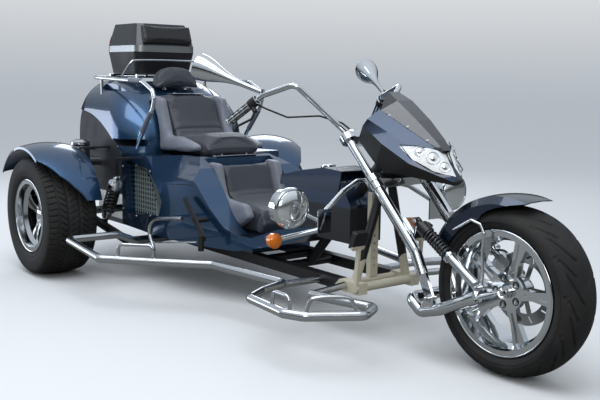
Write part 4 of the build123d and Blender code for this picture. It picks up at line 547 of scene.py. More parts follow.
def dress(node: bpy.types.Object, finish: Finish) -> None:
    """Gives a CAD node its finish; its mesh stays as it is.

    Args:
        node: the node's object.
        finish: what it is made of.
    """
    while len(node.material_slots) == 0:
        node.data.materials.append(None)
    for slot in node.material_slots:
        slot.link = "OBJECT"
        slot.material = finish.material()


def lathe_mesh(profile: Pairs, centre: Vector, axis: Vector, segments: int) -> Shape:
    """Points and faces of a turned shape; a radius of nought closes it.

    Args:
        profile: pairs of a place along the axis and a radius there.
        centre: where the axis begins.
        axis: which way it runs.
        segments: faces in one turn.

    Returns:
        The shape.
    """
    along = axis.normalized()
    across = along.orthogonal().normalized()
    other = along.cross(across)
    points: list[Vector] = []
    rings: list[list[int]] = []
    for reach, radius in profile:
        ring = []
        for step in range(1 if radius <= 1e-6 else segments):
            turn = 2 * math.pi * step / segments
            ring.append(len(points))
            out = across * math.cos(turn) + other * math.sin(turn)
            points.append(centre + along * reach + out * radius)
        rings.append(ring)
    faces: list[tuple[int, ...]] = []
    for first, second in zip(rings, rings[1:]):
        for step in range(segments):
            after = (step + 1) % segments
            if len(first) > 1 and len(second) > 1:
                faces.append((first[step], second[step], second[after], first[after]))
            elif len(second) > 1:
                faces.append((first[0], second[step], second[after]))
            elif len(first) > 1:
                faces.append((first[step], second[0], first[after]))
    return points, faces


def bead(along: float, radius: float, deep: float, wide: float, steps: int = 8) -> Pairs:
    """The round section of a ring, ready for turning.

    Args:
        along: the ring's place on the axis.
        radius: the ring's radius.
        deep: half its section along the axis.
        wide: half its section outwards.
        steps: sides of the section.

    Returns:
        The profile.
    """
    turns = [2 * math.pi * i / steps for i in range(steps + 1)]
    return [(along + deep * math.cos(turn), radius + wide * math.sin(turn)) for turn in turns]


def bolt_mesh(centre: Vector, axis: Vector, radius: float, height: float, socket: bool = False) -> Shape:
    """A bolt head on its washer: hexagonal and chamfered, or round with a hexagonal socket.

    Args:
        centre: where the washer sits.
        axis: which way the head stands.
        radius: the head's radius.
        height: the head's height.
        socket: makes the round head with a socket.

    Returns:
        The shape.
    """
    along = axis.normalized()
    thick = height * 0.22
    washer = lathe_mesh([(0, 0), (0, radius * 1.45), (thick, radius * 1.45), (thick, 0)], centre, along, 20)
    if socket:
        profile = [(0, radius), (height * 0.85, radius), (height, radius * 0.9), (height, radius * 0.55),
                   (height * 0.45, radius * 0.55), (height * 0.45, 0)]
    else:
        profile = [(0, radius), (height * 0.8, radius), (height, radius * 0.84), (height, 0)]
    top = lathe_mesh(profile, centre + along * height * 0.22, along, 18 if socket else 6)
    start = len(washer[0])
    return washer[0] + top[0], washer[1] + [tuple(i + start for i in face) for face in top[1]]


def plate_mesh(corners: Sequence[Vector], thickness: Vector) -> Shape:
    """A flat plate: its outline, and the same outline moved by its thickness.

    Args:
        corners: the outline's corners in order.
        thickness: from one face to the other.

    Returns:
        The shape.
    """
    count = len(corners)
    points = list(corners) + [corner + thickness for corner in corners]
    faces = [tuple(range(count)), tuple(reversed(range(count, 2 * count)))]
    faces += [(i, (i + 1) % count, (i + 1) % count + count, i + count) for i in range(count)]
    return points, [tuple(reversed(face)) for face in faces]


def strip_mesh(ends: tuple[Vector, Vector], across: Vector, out: Vector, width: float,
               height: float) -> Shape:
    """A raised band along a line, with sloped sides.

    Args:
        ends: where its foot begins and ends.
        across: sideways.
        out: away from what carries it.
        width: the foot's width.
        height: how far it stands out.

    Returns:
        The shape.
    """
    first, last = ends
    low, high = across * width / 2, across * width * 0.34
    inset = (last - first).normalized() * height * 0.5
    base = [first - low, first + low, last + low, last - low]
    top = [first - high + inset, first + high + inset, last + high - inset, last - high - inset]
    faces = [(0, 3, 2, 1), (4, 5, 6, 7), (0, 1, 5, 4), (1, 2, 6, 5), (2, 3, 7, 6), (3, 0, 4, 7)]
    return base + [place + out * height for place in top], faces


@dataclass
class Workshop:
    """Makes the scene's own pieces and hands each to its body."""

    nodes: dict[str, bpy.types.Object]
    sharp_above: float = math.radians(38)
    bevel_above: float = math.radians(40)

    def keep(self, piece: bpy.types.Object, body: Body, finish: Finish) -> bpy.types.Object:
        """Links a piece to the scene, dresses it and lets it ride on its body.

        Args:
            piece: the object.
            body: what it rides on.
            finish: what it is made of.

        Returns:
            The piece.
        """
        if piece.name not in bpy.context.scene.collection.objects:
            bpy.context.scene.collection.objects.link(piece)
        piece.data.materials.clear()
        piece.data.materials.append(finish.material())
        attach(piece, body.value)
        log.info("piece %s on %s", piece.name, body.value)
        return piece

    def mesh(self, name: str, points: Iterable[Point], faces: Iterable[Sequence[int]], finish: Finish,
             body: Body) -> bpy.types.Object:
        """Makes a mesh piece, its faces turned outwards and its flat edges kept sharp.

        Args:
            name: the piece's name.
            points: its corners.
            faces: which corners make each face.
            finish: what it is made of.
            body: what it rides on.

        Returns:
            The piece.
        """
        data = bpy.data.meshes.new(name)
        data.from_pydata([tuple(p) for p in points], [], [tuple(f) for f in faces])
        data.validate()
        shape = bmesh.new()
        shape.from_mesh(data)
        bmesh.ops.recalc_face_normals(shape, faces=shape.faces)
        shape.to_mesh(data)
        shape.free()
        data.shade_smooth()
        data.set_sharp_from_angle(angle=self.sharp_above)
        return self.keep(bpy.data.objects.new(name, data), body, finish)

    def tube(self, name: str, points: Sequence[Vector], radius: float, finish: Finish, body: Body,
             smooth: bool = True, closed: bool = False) -> bpy.types.Object:
        """Makes a round bar along points as a curve with a bevel.

        Args:
            name: the piece's name.
            points: the places it goes through, or is drawn to.
            radius: half its thickness.
            finish: what it is made of.
            body: what it rides on.
            smooth: bends gently between its points.
            closed: joins its last point to its first.

        Returns:
            The piece.
        """
        data = bpy.data.curves.new(name, "CURVE")
        data.dimensions = "3D"
        data.bevel_depth = radius
        data.bevel_resolution = 4
        data.use_fill_caps = True
        spline = data.splines.new("NURBS" if smooth else "POLY")
        spline.points.add(len(points) - 1)
        for place, point in zip(spline.points, points):
            place.co = (*point, 1.0)
        if smooth:
            spline.order_u = 3
            spline.use_endpoint_u = not closed
        spline.use_cyclic_u = closed
        return self.keep(bpy.data.objects.new(name, data), body, finish)

    def lathe(self, name: str, profile: Pairs, centre: Vector, axis: Vector, finish: Finish, body: Body,
              segments: int = 48) -> bpy.types.Object:
        """Turns a profile round an axis.

        Args:
            name: the piece's name.
            profile: pairs of a place along the axis and a radius there.
            centre: where the axis begins.
            axis: which way it runs.
            finish: what it is made of.
            body: what it rides on.
            segments: faces in one turn.

        Returns:
            The piece.
        """
        return self.mesh(name, *lathe_mesh(profile, centre, axis, segments), finish, body)

    def many(self, name: str, shapes: Sequence[Shape], finish: Finish, body: Body,
             rounding: float = 0.0) -> bpy.types.Object:
        """Joins several small shapes of one kind into one piece.

        Args:
            name: the piece's name.
            shapes: what it is joined from.
            finish: what it is made of.
            body: what it rides on.
            rounding: how wide its sharp edges are rounded.

        Returns:
            The piece.
        """
        points: list[Vector] = []
        faces: list[tuple[int, ...]] = []
        for shape_points, shape_faces in shapes:
            start = len(points)
            points.extend(shape_points)
            faces.extend(tuple(i + start for i in face) for face in shape_faces)
        piece = self.mesh(name, points, faces, finish, body)
        if rounding:
            bevel = piece.modifiers.new("edge_rounding", "BEVEL")
            bevel.width = rounding
            bevel.segments = 2
            bevel.limit_method = "ANGLE"
            bevel.angle_limit = self.bevel_above
        return piece

    def bolts(self, name: str, spots: Iterable[tuple[Vector, Vector]], size: tuple[float, float], body: Body,
              finish: Finish = ZINC, socket: bool = False) -> bpy.types.Object:
        """Sets one row of equal bolt heads.

        Args:
            name: the piece's name.
            spots: each head's foot and the way it stands.
            size: radius and height of a head.
            body: what they ride on.
            finish: what they are made of.
            socket: makes round heads with a socket.

        Returns:
            The piece.
        """
        heads = [bolt_mesh(place, axis, *size, socket) for place, axis in spots]
        return self.many(name, heads, finish, body)


@dataclass
class Studio:
    """The floor, the lights and the camera at the photograph's viewing angle."""

    camera_place: Place = (3.526, -2.68, 1.13)
    azimuth: float = 51.8
    down: float = 8.0
    roll: float = 0.88
    lens: float = 52.7
    sensor: float = 36.0
    clip: tuple[float, float] = (0.05, 60.0)
    floor_half: float = 30.0
    floor_colour: str = "#dcdddd"
    paving_colour: str = "#7d7c79"
    backdrop_colour: str = "#e4e5e6"
    horizon_colour: str = "#b1b8c0"
    horizon_band: tuple[float, float] = (-0.045, 0.16)
    world_strength: float = 0.85
    lamps: tuple[tuple[str, Place, Place, tuple[float, float], float, str], ...] = (
        ("sky_box", (0.6, -1.8, 4.6), (0.2, -0.2, 0.4), (5.0, 3.4), 150.0, "#f3f8ff"),
        ("side_box", (4.8, -4.0, 2.8), (0.4, -0.2, 0.6), (2.4, 2.0), 60.0, "#fffaf2"),
        ("rear_box", (-4.4, 2.6, 3.0), (-0.4, 0.2, 0.8), (3.0, 2.0), 60.0, "#f0f5ff"),
        ("flank_box", (-4.6, -3.4, 0.9), (-0.3, -0.4, 0.55), (3.4, 1.5), 55.0, "#eaf2ff"))
    sky: tuple[tuple[float, str], ...] = (
        (0.0, "#55544f"), (0.03, "#2b2c28"), (0.13, "#36382f"), (0.22, "#a9b2b8"), (0.45, "#d5dfec"),
        (1.0, "#f4f9ff"))

    def build(self) -> None:
        """Builds the camera, the floor, the lamps and the world."""
        self.camera()
        self.floor()
        for lamp in self.lamps:
            self.lamp(*lamp)
        self.world()

    def camera(self) -> None:
        """Puts the camera where the photograph was taken from."""
        data = bpy.data.cameras.new("studio_camera")
        data.lens = self.lens
        data.sensor_width = self.sensor
        data.clip_start, data.clip_end = self.clip
        camera = bpy.data.objects.new("studio_camera", data)
        azimuth, down, roll = (math.radians(v) for v in (self.azimuth, self.down, self.roll))
        look = Vector((-math.sin(azimuth) * math.cos(down), math.cos(azimuth) * math.cos(down),
                       -math.sin(down)))
        right = Vector((math.cos(azimuth), math.sin(azimuth), 0.0))
        above = right.cross(look)
        right, above = (right * math.cos(roll) + above * math.sin(roll),
                        above * math.cos(roll) - right * math.sin(roll))
        turn = Matrix((right, above, -look)).transposed().to_4x4()
        camera.matrix_world = Matrix.Translation(Vector(self.camera_place)) @ turn
        bpy.context.scene.collection.objects.link(camera)
        bpy.context.scene.camera = camera
        bpy.context.scene.view_settings.view_transform = "Standard"

    def floor(self) -> None:
        """Lays a wide floor: pale to the camera, and as grey as paving to reflections."""
        half = self.floor_half
        data = bpy.data.meshes.new("studio_floor")
        data.from_pydata([(-half, -half, 0), (half, -half, 0), (half, half, 0), (-half, half, 0)], [],
                         [(0, 1, 2, 3)])
        floor = bpy.data.objects.new("studio_floor", data)
        bpy.context.scene.collection.objects.link(floor)
        paper = bpy.data.materials.new("studio_paper_matt")
        paper.use_nodes = True
        tree = paper.node_tree
        shader = tree.nodes["Principled BSDF"]
        paths = add_node(tree, "LightPath")
        add_node(tree, "Mix", COLOURS, (2, shader, "Base Color"), i0=(paths, "Is Camera Ray"),
                 i6=linear(self.paving_colour), i7=linear(self.floor_colour))
        shader.inputs["Roughness"].default_value = 0.9
        floor.data.materials.append(paper)

    def lamp(self, name: str, place: Place, aim: Place, size: tuple[float, float], power: float,
             colour: str) -> None:
        """Hangs one soft box.

        Args:
            name: the lamp's name.
            place: where it hangs.
            aim: what it points at.
            size: its width and height.
            power: its light in watts.
            colour: its colour.
        """
        data = bpy.data.lights.new(name, "AREA")
        data.shape = "RECTANGLE"
        data.size, data.size_y = size
        data.energy = power
        data.color = linear(colour)[:3]
        box = bpy.data.objects.new(name, data)
        box.location = place
        box.rotation_euler = (Vector(aim) - Vector(place)).to_track_quat("-Z", "Y").to_euler()
        bpy.context.scene.collection.objects.link(box)

    def world(self) -> None:
        """A sky with a dark band at the horizon for reflections, and a plain backdrop for the camera."""
        world = bpy.data.worlds.new("studio_world")
        world.use_nodes = True
        tree = world.node_tree
        shade = tree.nodes["Background"]
        place = add_node(tree, "TexCoord")
        parts = add_node(tree, "SeparateXYZ", Vector=(place, "Generated"))
        ramp = add_node(tree, "ValToRGB", Fac=(parts, "Z"))
        elements = ramp.color_ramp.elements
        for element, (position, colour) in zip(elements, (self.sky[0], self.sky[-1])):
            element.position, element.color = position, linear(colour)
        for position, colour in self.sky[1:-1]:
            elements.new(position).color = linear(colour)
        paths = add_node(tree, "LightPath")
        low, high = self.horizon_band
        rise = add_node(tree, "MapRange", {"interpolation_type": "SMOOTHSTEP"}, Value=(parts, "Z"),
                        From_Min=low, From_Max=high)
        paper = add_node(tree, "Mix", COLOURS, i0=(rise, "Result"), i6=linear(self.horizon_colour),
                         i7=linear(self.backdrop_colour))
        add_node(tree, "Mix", COLOURS, (2, shade, "Color"), i0=(paths, "Is Camera Ray"), i6=(ramp, "Color"),
                 i7=(paper, 2))
        add_node(tree, "MapRange", None, ("Result", shade, "Strength"), Value=(paths, "Is Camera Ray"),
                 To_Min=self.world_strength, To_Max=1.0)
        bpy.context.scene.world = world


class Tread(Enum):
    """The two tread patterns."""

    BLOCKS = "car blocks"
    SWEEP = "motorcycle sweep"


@dataclass
class Tyre:
    """One tyre, its tread cut into its crown."""

    name: str
    body: Body
    centre: Place
    radius: float
    width: float
    rim_radius: float
    crown: float
    tread: Tread
    steps: int = 840
    crown_steps: int = 46
    groove: float = 0.0065
    wall_of_groove: float = 0.0016
    blocks: int = 62
    rib_places: tuple[float, float] = (0.032, 0.082)
    rib_half: float = 0.0052
    sweeps: int = 13
    sweep_half: float = 0.0046
    sweep_lines: tuple[tuple[float, float, float, float], ...] = ((0.0, 0.10, 0.80, 1.25),
                                                                  (0.46, 0.34, 0.95, 1.05))

    def profile(self) -> Pairs:
        """The tyre's section.

        Returns:
            Across and outward places from one bead over the crown to the other.
        """
        half = self.width / 2
        edge = half - 0.020
        shoulder = self.radius - self.crown
        edge_radius = shoulder + self.crown * 0.45
        foot = self.rim_radius
        wall = [(half - 0.024, foot + 0.001), (half - 0.018, foot + 0.006), (half - 0.012, foot + 0.012),
                (half - 0.006, foot + 0.024), (half - 0.0045, foot + 0.028), (half - 0.006, foot + 0.031),
                (half - 0.0015, foot + 0.042)]
        reach = shoulder - 0.024 - (foot + 0.042)
        wall += [(half - 0.0015 + 0.001 * math.sin(math.pi * share), foot + 0.042 + reach * share)
                 for share in (0.35, 0.7, 1.0)]
        wall += [(half - 0.0035, shoulder - 0.010), (half - 0.0065, shoulder - 0.002),
                 (half - 0.013, shoulder + self.crown * 0.22)]
        places = [-edge + 2 * edge * step / self.crown_steps for step in range(self.crown_steps + 1)]
        across = [(x, edge_radius + (self.radius - edge_radius) * (1 - (x / edge) ** 2)) for x in places]
        return [(-x, r) for x, r in wall] + across + [(x, r) for x, r in reversed(wall)]

    def depth(self, turn: float, x: float) -> float:
        """How deep the tread is cut.

        Args:
            turn: the angle round the tyre.
            x: the place across it.

        Returns:
            Nought on the crown, one on a groove's floor.
        """
        run = turn * self.radius
        share = abs(x) / (self.width / 2)
        if self.tread is Tread.BLOCKS:
            cut = max(self.slot(abs(x) - place, self.rib_half) for place in self.rib_places)
            pitch = 2 * math.pi * self.radius / self.blocks
            if share > 0.60:
                lean, half_width, deep = abs(x) * 0.10, 0.0040, 1.0
            elif share > 0.27:
                lean, half_width, deep = x * 0.75, 0.0032, 1.0
            else:
                lean, half_width, deep = x * -0.5, 0.0022, 0.7
            return max(cut, deep * self.slot(((run + lean) % pitch) - pitch / 2, half_width))
        pitch = 2 * math.pi * self.radius / self.sweeps
        hand = 0.5 if x > 0 else 0.0
        cut = 0.0
        for start, low, high, lean in self.sweep_lines:
            if low < share < high:
                middle = (hand + start) * pitch + lean * pitch * share ** 1.5
                away = ((run - middle + pitch / 2) % pitch) - pitch / 2
                fade = min(1.0, (share - low) / 0.08, (high - share) / 0.08)
                cut = max(cut, self.slot(away * 0.62, self.sweep_half) * fade)
        return cut

    def slot(self, distance: float, half_width: float) -> float:
        """One at the middle of a groove, nought beside it, with steep walls."""
        return min(1.0, max(0.0, (half_width - abs(distance)) / self.wall_of_groove + 0.5))

    def build(self, shop: Workshop) -> None:
        """Turns the tyre and cuts its tread.

        Args:
            shop: the workshop that keeps the piece.
        """
        rings = self.profile()
        count = len(rings)
        edge = self.width / 2 - 0.008
        middle_x, middle_y, middle_z = self.centre
        points: list[Place] = []
        faces = []
        for step in range(self.steps):
            turn = 2 * math.pi * step / self.steps
            cosine, sine = math.cos(turn), math.sin(turn)
            for x, radius in rings:
                if abs(x) < edge and radius > self.radius - self.crown:
                    radius -= self.groove * self.depth(turn, x)
                points.append((middle_x + radius * cosine, middle_y + x, middle_z + radius * sine))
            here, after = step * count, (step + 1) % self.steps * count
            faces += [(here + i, here + i + 1, after + i + 1, after + i) for i in range(count - 1)]
        tyre = shop.mesh(self.name + "_tread", points, faces, TYRE_RUBBER, self.body)
        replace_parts(tyre, self.name)


def surface_tree(piece: bpy.types.Object) -> BVHTree:
    """A search tree of a mesh's faces at rest."""
    mesh = piece.data
    return BVHTree.FromPolygons([v.co.copy() for v in mesh.vertices],
                                [tuple(p.vertices) for p in mesh.polygons])


def cut_lines(piece: bpy.types.Object, point: Vector, normal: Vector) -> list[list[Vector]]:
    """The lines where a plane cuts a mesh.

    Args:
        piece: the mesh object.
        point: a place on the plane.
        normal: the plane's direction.

    Returns:
        Each line as its places in order.
    """
    shape = bmesh.new()
    shape.from_mesh(piece.data)
    everything = shape.verts[:] + shape.edges[:] + shape.faces[:]
    cut = bmesh.ops.bisect_plane(shape, geom=everything, dist=1e-6, plane_co=point, plane_no=normal)
    edges = dict.fromkeys(e for e in cut["geom_cut"] if isinstance(e, bmesh.types.BMEdge))
    lines = []
    while edges:
        edge = next(iter(edges))
        del edges[edge]
        chain = [edge.verts[0], edge.verts[1]]
        growing = True
        while growing:
            growing = False
            for candidate in chain[-1].link_edges:
                if candidate in edges:
                    del edges[candidate]
                    chain.append(candidate.other_vert(chain[-1]))
                    growing = True
                    break
        lines.append([v.co.copy() for v in chain])
    shape.free()
    return lines


@dataclass(frozen=True)
class Seam:
    """A sewn seam where a plane crosses a cushion."""

    point: Vector
    normal: Vector
    depth: float = 0.004
    width: float = 0.007
    stitched: bool = True


@dataclass
class Cushion:
    """One stuffed piece: swollen from its CAD form, then drawn in along its seams."""

    name: str
    node: str
    finish: Finish
    body: Body = Body.CHASSIS
    box: tuple[float, float] = (-FAR, FAR)
    ahead_of: float = -FAR
    behind: float = FAR
    cap: float = 0.012
    shrink: float = 0.005
    voxel: float = 0.009
    pressure: float = 4.0
    frames: int = 20
    fill: float = 0.65
    rounding: int = 4
    reshape: Callable[[Vector], Vector] | None = None
    seams: tuple[Seam, ...] = ()
    pitch: float = 0.009
    stitch: float = 0.006
    thread: float = 0.0016

    def part(self, source: bpy.types.Object) -> bpy.types.Object:
        """Copies the faces of the CAD node that belong to this cushion.

        Args:
            source: the node's object.

        Returns:
            The copy.
        """
        shape = bmesh.new()
        shape.from_mesh(source.data)
        bmesh.ops.remove_doubles(shape, verts=shape.verts, dist=0.0001)
        strays = [v for v in shape.verts if not (self.box[0] < v.co.y < self.box[1]
                                                 and self.ahead_of < v.co.x < self.behind)]
        bmesh.ops.delete(shape, geom=strays, context="VERTS")
        bmesh.ops.recalc_face_normals(shape, faces=shape.faces)
        data = bpy.data.meshes.new(self.name)
        shape.to_mesh(data)
        shape.free()
        piece = bpy.data.objects.new(self.name, data)
        bpy.context.scene.collection.objects.link(piece)
        return piece

    def settle(self, piece: bpy.types.Object) -> None:
        """Replaces a piece's mesh by what its modifiers make of it.

        Args:
            piece: the cushion.
        """
        seen = piece.evaluated_get(bpy.context.evaluated_depsgraph_get())
        data = bpy.data.meshes.new_from_object(seen)
        piece.modifiers.clear()
        piece.data = data

    def inflate(self, piece: bpy.types.Object) -> None:
        """Runs the cloth from a slightly smaller form and caps how far a point may go.

        Args:
            piece: the cushion.
        """
        cloth = piece.modifiers.new("stuffing", "CLOTH")
        cloth.settings.use_pressure = True
        cloth.settings.uniform_pressure_force = self.pressure
        cloth.settings.quality = 4
        cloth.settings.effector_weights.gravity = 0.0
        cloth.settings.mass = 0.3
        cloth.collision_settings.use_collision = False
        cloth.point_cache.frame_start = 1
        cloth.point_cache.frame_end = self.frames
        start = [v.co.copy() for v in piece.data.vertices]
        for frame in range(1, self.frames + 1):
            bpy.context.scene.frame_set(frame)
        self.settle(piece)
        bpy.context.scene.frame_set(1)
        for vertex, origin in zip(piece.data.vertices, start):
            move = vertex.co - origin
            if move.length > self.cap:
                vertex.co = origin + move.normalized() * self.cap

    def draw_in(self, piece: bpy.types.Object) -> None:
        """Sinks the surface along each seam.

        Args:
            piece: the cushion.
        """
        normals = [v.normal.copy() for v in piece.data.vertices]
        for vertex, normal in zip(piece.data.vertices, normals):
            for seam in self.seams:
                away = abs((vertex.co - seam.point).dot(seam.normal.normalized()))
                if away < seam.width * 2.5:
                    vertex.co -= normal * seam.depth * math.exp(-(away / seam.width) ** 2)

    def sew(self, shop: Workshop, piece: bpy.types.Object) -> None:
        """Lays thread on both sides of each stitched seam.

        Args:
            shop: the workshop that keeps the thread.
            piece: the cushion.
        """
        tree = surface_tree(piece)
        shapes = []
        for seam in self.seams:
            for side in (-1, 1) if seam.stitched else ():
                offset = seam.point + seam.normal.normalized() * side * seam.width
                for line in cut_lines(piece, offset, seam.normal):
                    shapes.extend(self.stitches(line, tree))
        if shapes:
            shop.many(self.name + "_thread", shapes, THREAD, self.body)

    def stitches(self, line: Sequence[Vector], tree: BVHTree) -> list[Shape]:
        """Short flat lozenges along a line, lying on the surface.

        Args:
            line: where the thread runs.
            tree: the surface's faces.

        Returns:
            Each stitch's shape.
        """
        shapes = []
        walked, begin = 0.0, line[0]
        for first, second in zip(line, line[1:]):
            walked += (second - first).length
            if walked < self.pitch:
                continue
            way = (second - begin).normalized()
            middle = (begin + second) / 2
            walked, begin = 0.0, second
            normal = tree.find_nearest(middle)[1]
            if normal is None:
                continue
            across = way.cross(normal).normalized() * (self.thread / 2)
            low = normal * -0.0004
            reach = way * (self.stitch / 2)
            points = [middle - reach + low, middle + across + low, middle + reach + low,
                      middle - across + low, middle + normal * 0.0006]
            shapes.append((points, [(0, 1, 4), (1, 2, 4), (2, 3, 4), (3, 0, 4)]))
        return shapes

    def build(self, shop: Workshop) -> bpy.types.Object:
        """Makes the cushion.

        Args:
            shop: the workshop that keeps the piece.

        Returns:
            The cushion.
        """
        piece = self.part(shop.nodes[self.node])
        for vertex, normal in zip(piece.data.vertices, [v.normal.copy() for v in piece.data.vertices]):
            vertex.co -= normal * self.shrink
        blocks = piece.modifiers.new("even_mesh", "REMESH")
        blocks.mode = "VOXEL"
        blocks.voxel_size = self.voxel
        blocks.use_smooth_shade = True
        rounding = piece.modifiers.new("rounding", "SMOOTH")
        rounding.factor = 0.5
        rounding.iterations = self.rounding
        self.settle(piece)
        if self.reshape is not None:
            for vertex in piece.data.vertices:
                vertex.co = self.reshape(vertex.co)
        self.inflate(piece)
        finer = piece.modifiers.new("finer", "SUBSURF")
        finer.levels = finer.render_levels = 1
        self.settle(piece)
        self.draw_in(piece)
        piece.data.shade_smooth()
        shop.keep(piece, self.body, self.finish)
        self.sew(shop, piece)
        return piece


@dataclass
class Assembly:
    """A sub-assembly that builds its pieces in the workshop."""

    shop: Workshop


@dataclass
class Seats(Assembly):
    """The stepped double seat, its bolsters, the headrest and the pad of the case."""

    rear_half: float = 0.226
    front_half: float = 0.211
    bolster: float = 0.078
    slim_bolster: float = 0.046
    bolster_split: float = REAR_AXLE_X + 0.778
    piping: float = 0.012
    gap: float = 0.001
    roll_x: float = 0.640
    roll_length: float = 0.100
    roll_height: float = 0.034
    roll_above: float = 0.735
    roll_fade: float = 0.03
    dome_from: float = 1.055
    dome_height: float = 0.115
    dome_half: float = 0.150
    plate_thickness: float = 0.004

    def slim(self, half: float) -> Callable[[Vector], Vector]:
        """Draws the inner face of a bolster outwards, so that the slate centre gets the room.

        Args:
            half: half the width over both bolsters.

        Returns:
            What moves one place.
        """
        share = self.slim_bolster / self.bolster

        def move(place: Vector) -> Vector:
            """Keeps the outer face and squeezes what is inside it."""
            hand = 1 if place.y > 0 else -1
            return Vector((place.x, hand * (half - (half - abs(place.y)) * share), place.z))
        return move

    def wide(self, half: float) -> Callable[[Vector], Vector]:
        """Widens a centre cushion up to the slim bolsters and, on the rear one, raises its front roll.

        Args:
            half: half the width over both bolsters.

        Returns:
            What moves one place.
        """
        inner = half - self.bolster - self.gap
        share = (half - self.slim_bolster - self.gap) / inner

        def move(place: Vector) -> Vector:
            """Widens, and lifts the upper side in a round ridge."""
            lift = 0.0
            if half == self.rear_half and place.z > self.roll_above:
                away = (place.x - REAR_AXLE_X - self.roll_x) / self.roll_length
                lift = self.roll_height * math.exp(-away ** 2) * max(0.0, 1 - (place.y / inner) ** 4)
                lift *= min(1.0, (place.z - self.roll_above) / self.roll_fade)
            return Vector((place.x, place.y * share, place.z + lift))
        return move

    def dome(self, place: Vector) -> Vector:
        """Rounds the headrest's top corners down and its sides in.

        Args:
            place: a place on the plain headrest.

        Returns:
            Where it goes.
        """
        across = min(1.0, abs(place.y) / self.dome_half)
        rise = max(0.0, place.z - self.dome_from)
        z = self.dome_from + rise * (1 - 0.55 * across ** 3.2) if rise > 0 else place.z
        return Vector((place.x, place.y * (1 - 0.10 * rise / self.dome_height), z))

    def bolster_pad(self, end: str, side: str, hand: int, half: float, **limits: float) -> Cushion:
        """One bolster, with a seam along its inner edge.

        Args:
            end: front or rear.
            side: left or right.
            hand: one on the left, minus one on the right.
            half: half the width over both bolsters.
            **limits: where it begins or ends along the trike.

        Returns:
            The cushion.
        """
        seam = Seam(Vector((0, hand * (half - self.piping), 0)), Vector((0.0, 1.0, 0.0)), 0.002, 0.004)
        return Cushion(f"{end}_bolster_{side}", "seat_bolsters", PALE_HIDE,
                       box=(-FAR, 0.0) if hand < 0 else (0.0, FAR), cap=0.010, shrink=0.002, rounding=16,
                       reshape=self.slim(half), seams=(seam,), **limits)

    def build(self) -> None:
        """Builds every cushion and takes the CAD ones out of sight."""
        shop = self.shop
        rear_seams = (Seam(rear(0.615, 0, 0.75), AHEAD),
                      Seam(rear(0.395, 0, 0.82), Vector((0.75, 0.0, -0.66)), 0.006, 0.010, False))
        front_seams = (Seam(rear(0.955, 0, 0.50), Vector((0.80, 0.0, -0.60)), 0.006, 0.010, False),
                       Seam(rear(1.130, 0, 0.46), AHEAD))
        rest_seams = (Seam(rear(0.098, 0, 1.1), Vector((1.0, 0.0, 0.05)), 0.003, 0.005),)
        rear_seat = Cushion("rear_seat_cushion", "rear_seat", SLATE_HIDE, rounding=7,
                            reshape=self.wide(self.rear_half), seams=rear_seams)
        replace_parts(rear_seat.build(shop), "rear_seat")
        front_seat = Cushion("front_seat_cushion", "front_seat", SLATE_HIDE, rounding=6,
                             reshape=self.wide(self.front_half), seams=front_seams)
        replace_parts(front_seat.build(shop), "front_seat")
        for side, hand in SIDES:
            self.bolster_pad("rear", side, hand, self.rear_half, behind=self.bolster_split).build(shop)
            pad = self.bolster_pad("front", side, hand, self.front_half, ahead_of=self.bolster_split)
            last = pad.build(shop)
        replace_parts(last, "seat_bolsters")
        head_pad = Cushion("headrest_cushion", "headrest", SLATE_HIDE, shrink=0.003, voxel=0.007, rounding=10,
                           reshape=self.dome, seams=rest_seams)
        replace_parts(head_pad.build(shop), "headrest")
        lid_pad = Cushion("case_pad_cushion", "case_pad", BLACK_HIDE, body=Body.LID, cap=0.007, shrink=0.003,
                          voxel=0.006)
        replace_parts(lid_pad.build(shop), "case_pad")
        self.plate("seat_plate_low", (0.728, 0.786), (0.6985, 0.6985), 0.130)
        self.plate("seat_plate_high", (0.196, 0.306), (1.018, 1.020), 0.105)

    def plate(self, name: str, ends: tuple[float, float], heights: tuple[float, float],
              half: float) -> None:
        """A polished plate between two cushions, with two screws.

        Args:
            name: the plate's name.
            ends: where it begins and ends, ahead of the rear axle.
            heights: its underside there.
            half: half its width.
        """
        corners = [rear(ends[0], -half, heights[0]), rear(ends[1], -half, heights[1]),
                   rear(ends[1], half, heights[1]), rear(ends[0], half, heights[0])]
        thick = Vector((0, 0, self.plate_thickness))
        self.shop.many(name, [plate_mesh(corners, thick)], STAINLESS, Body.CHASSIS, rounding=0.0015)
        middle = sum(corners, Vector()) / 4
        spots = [(middle + Vector((0, y, self.plate_thickness)), UP) for y in (-0.08, 0.08)]
        self.shop.bolts(name + "_screws", spots, (0.005, 0.004), Body.CHASSIS, socket=True)


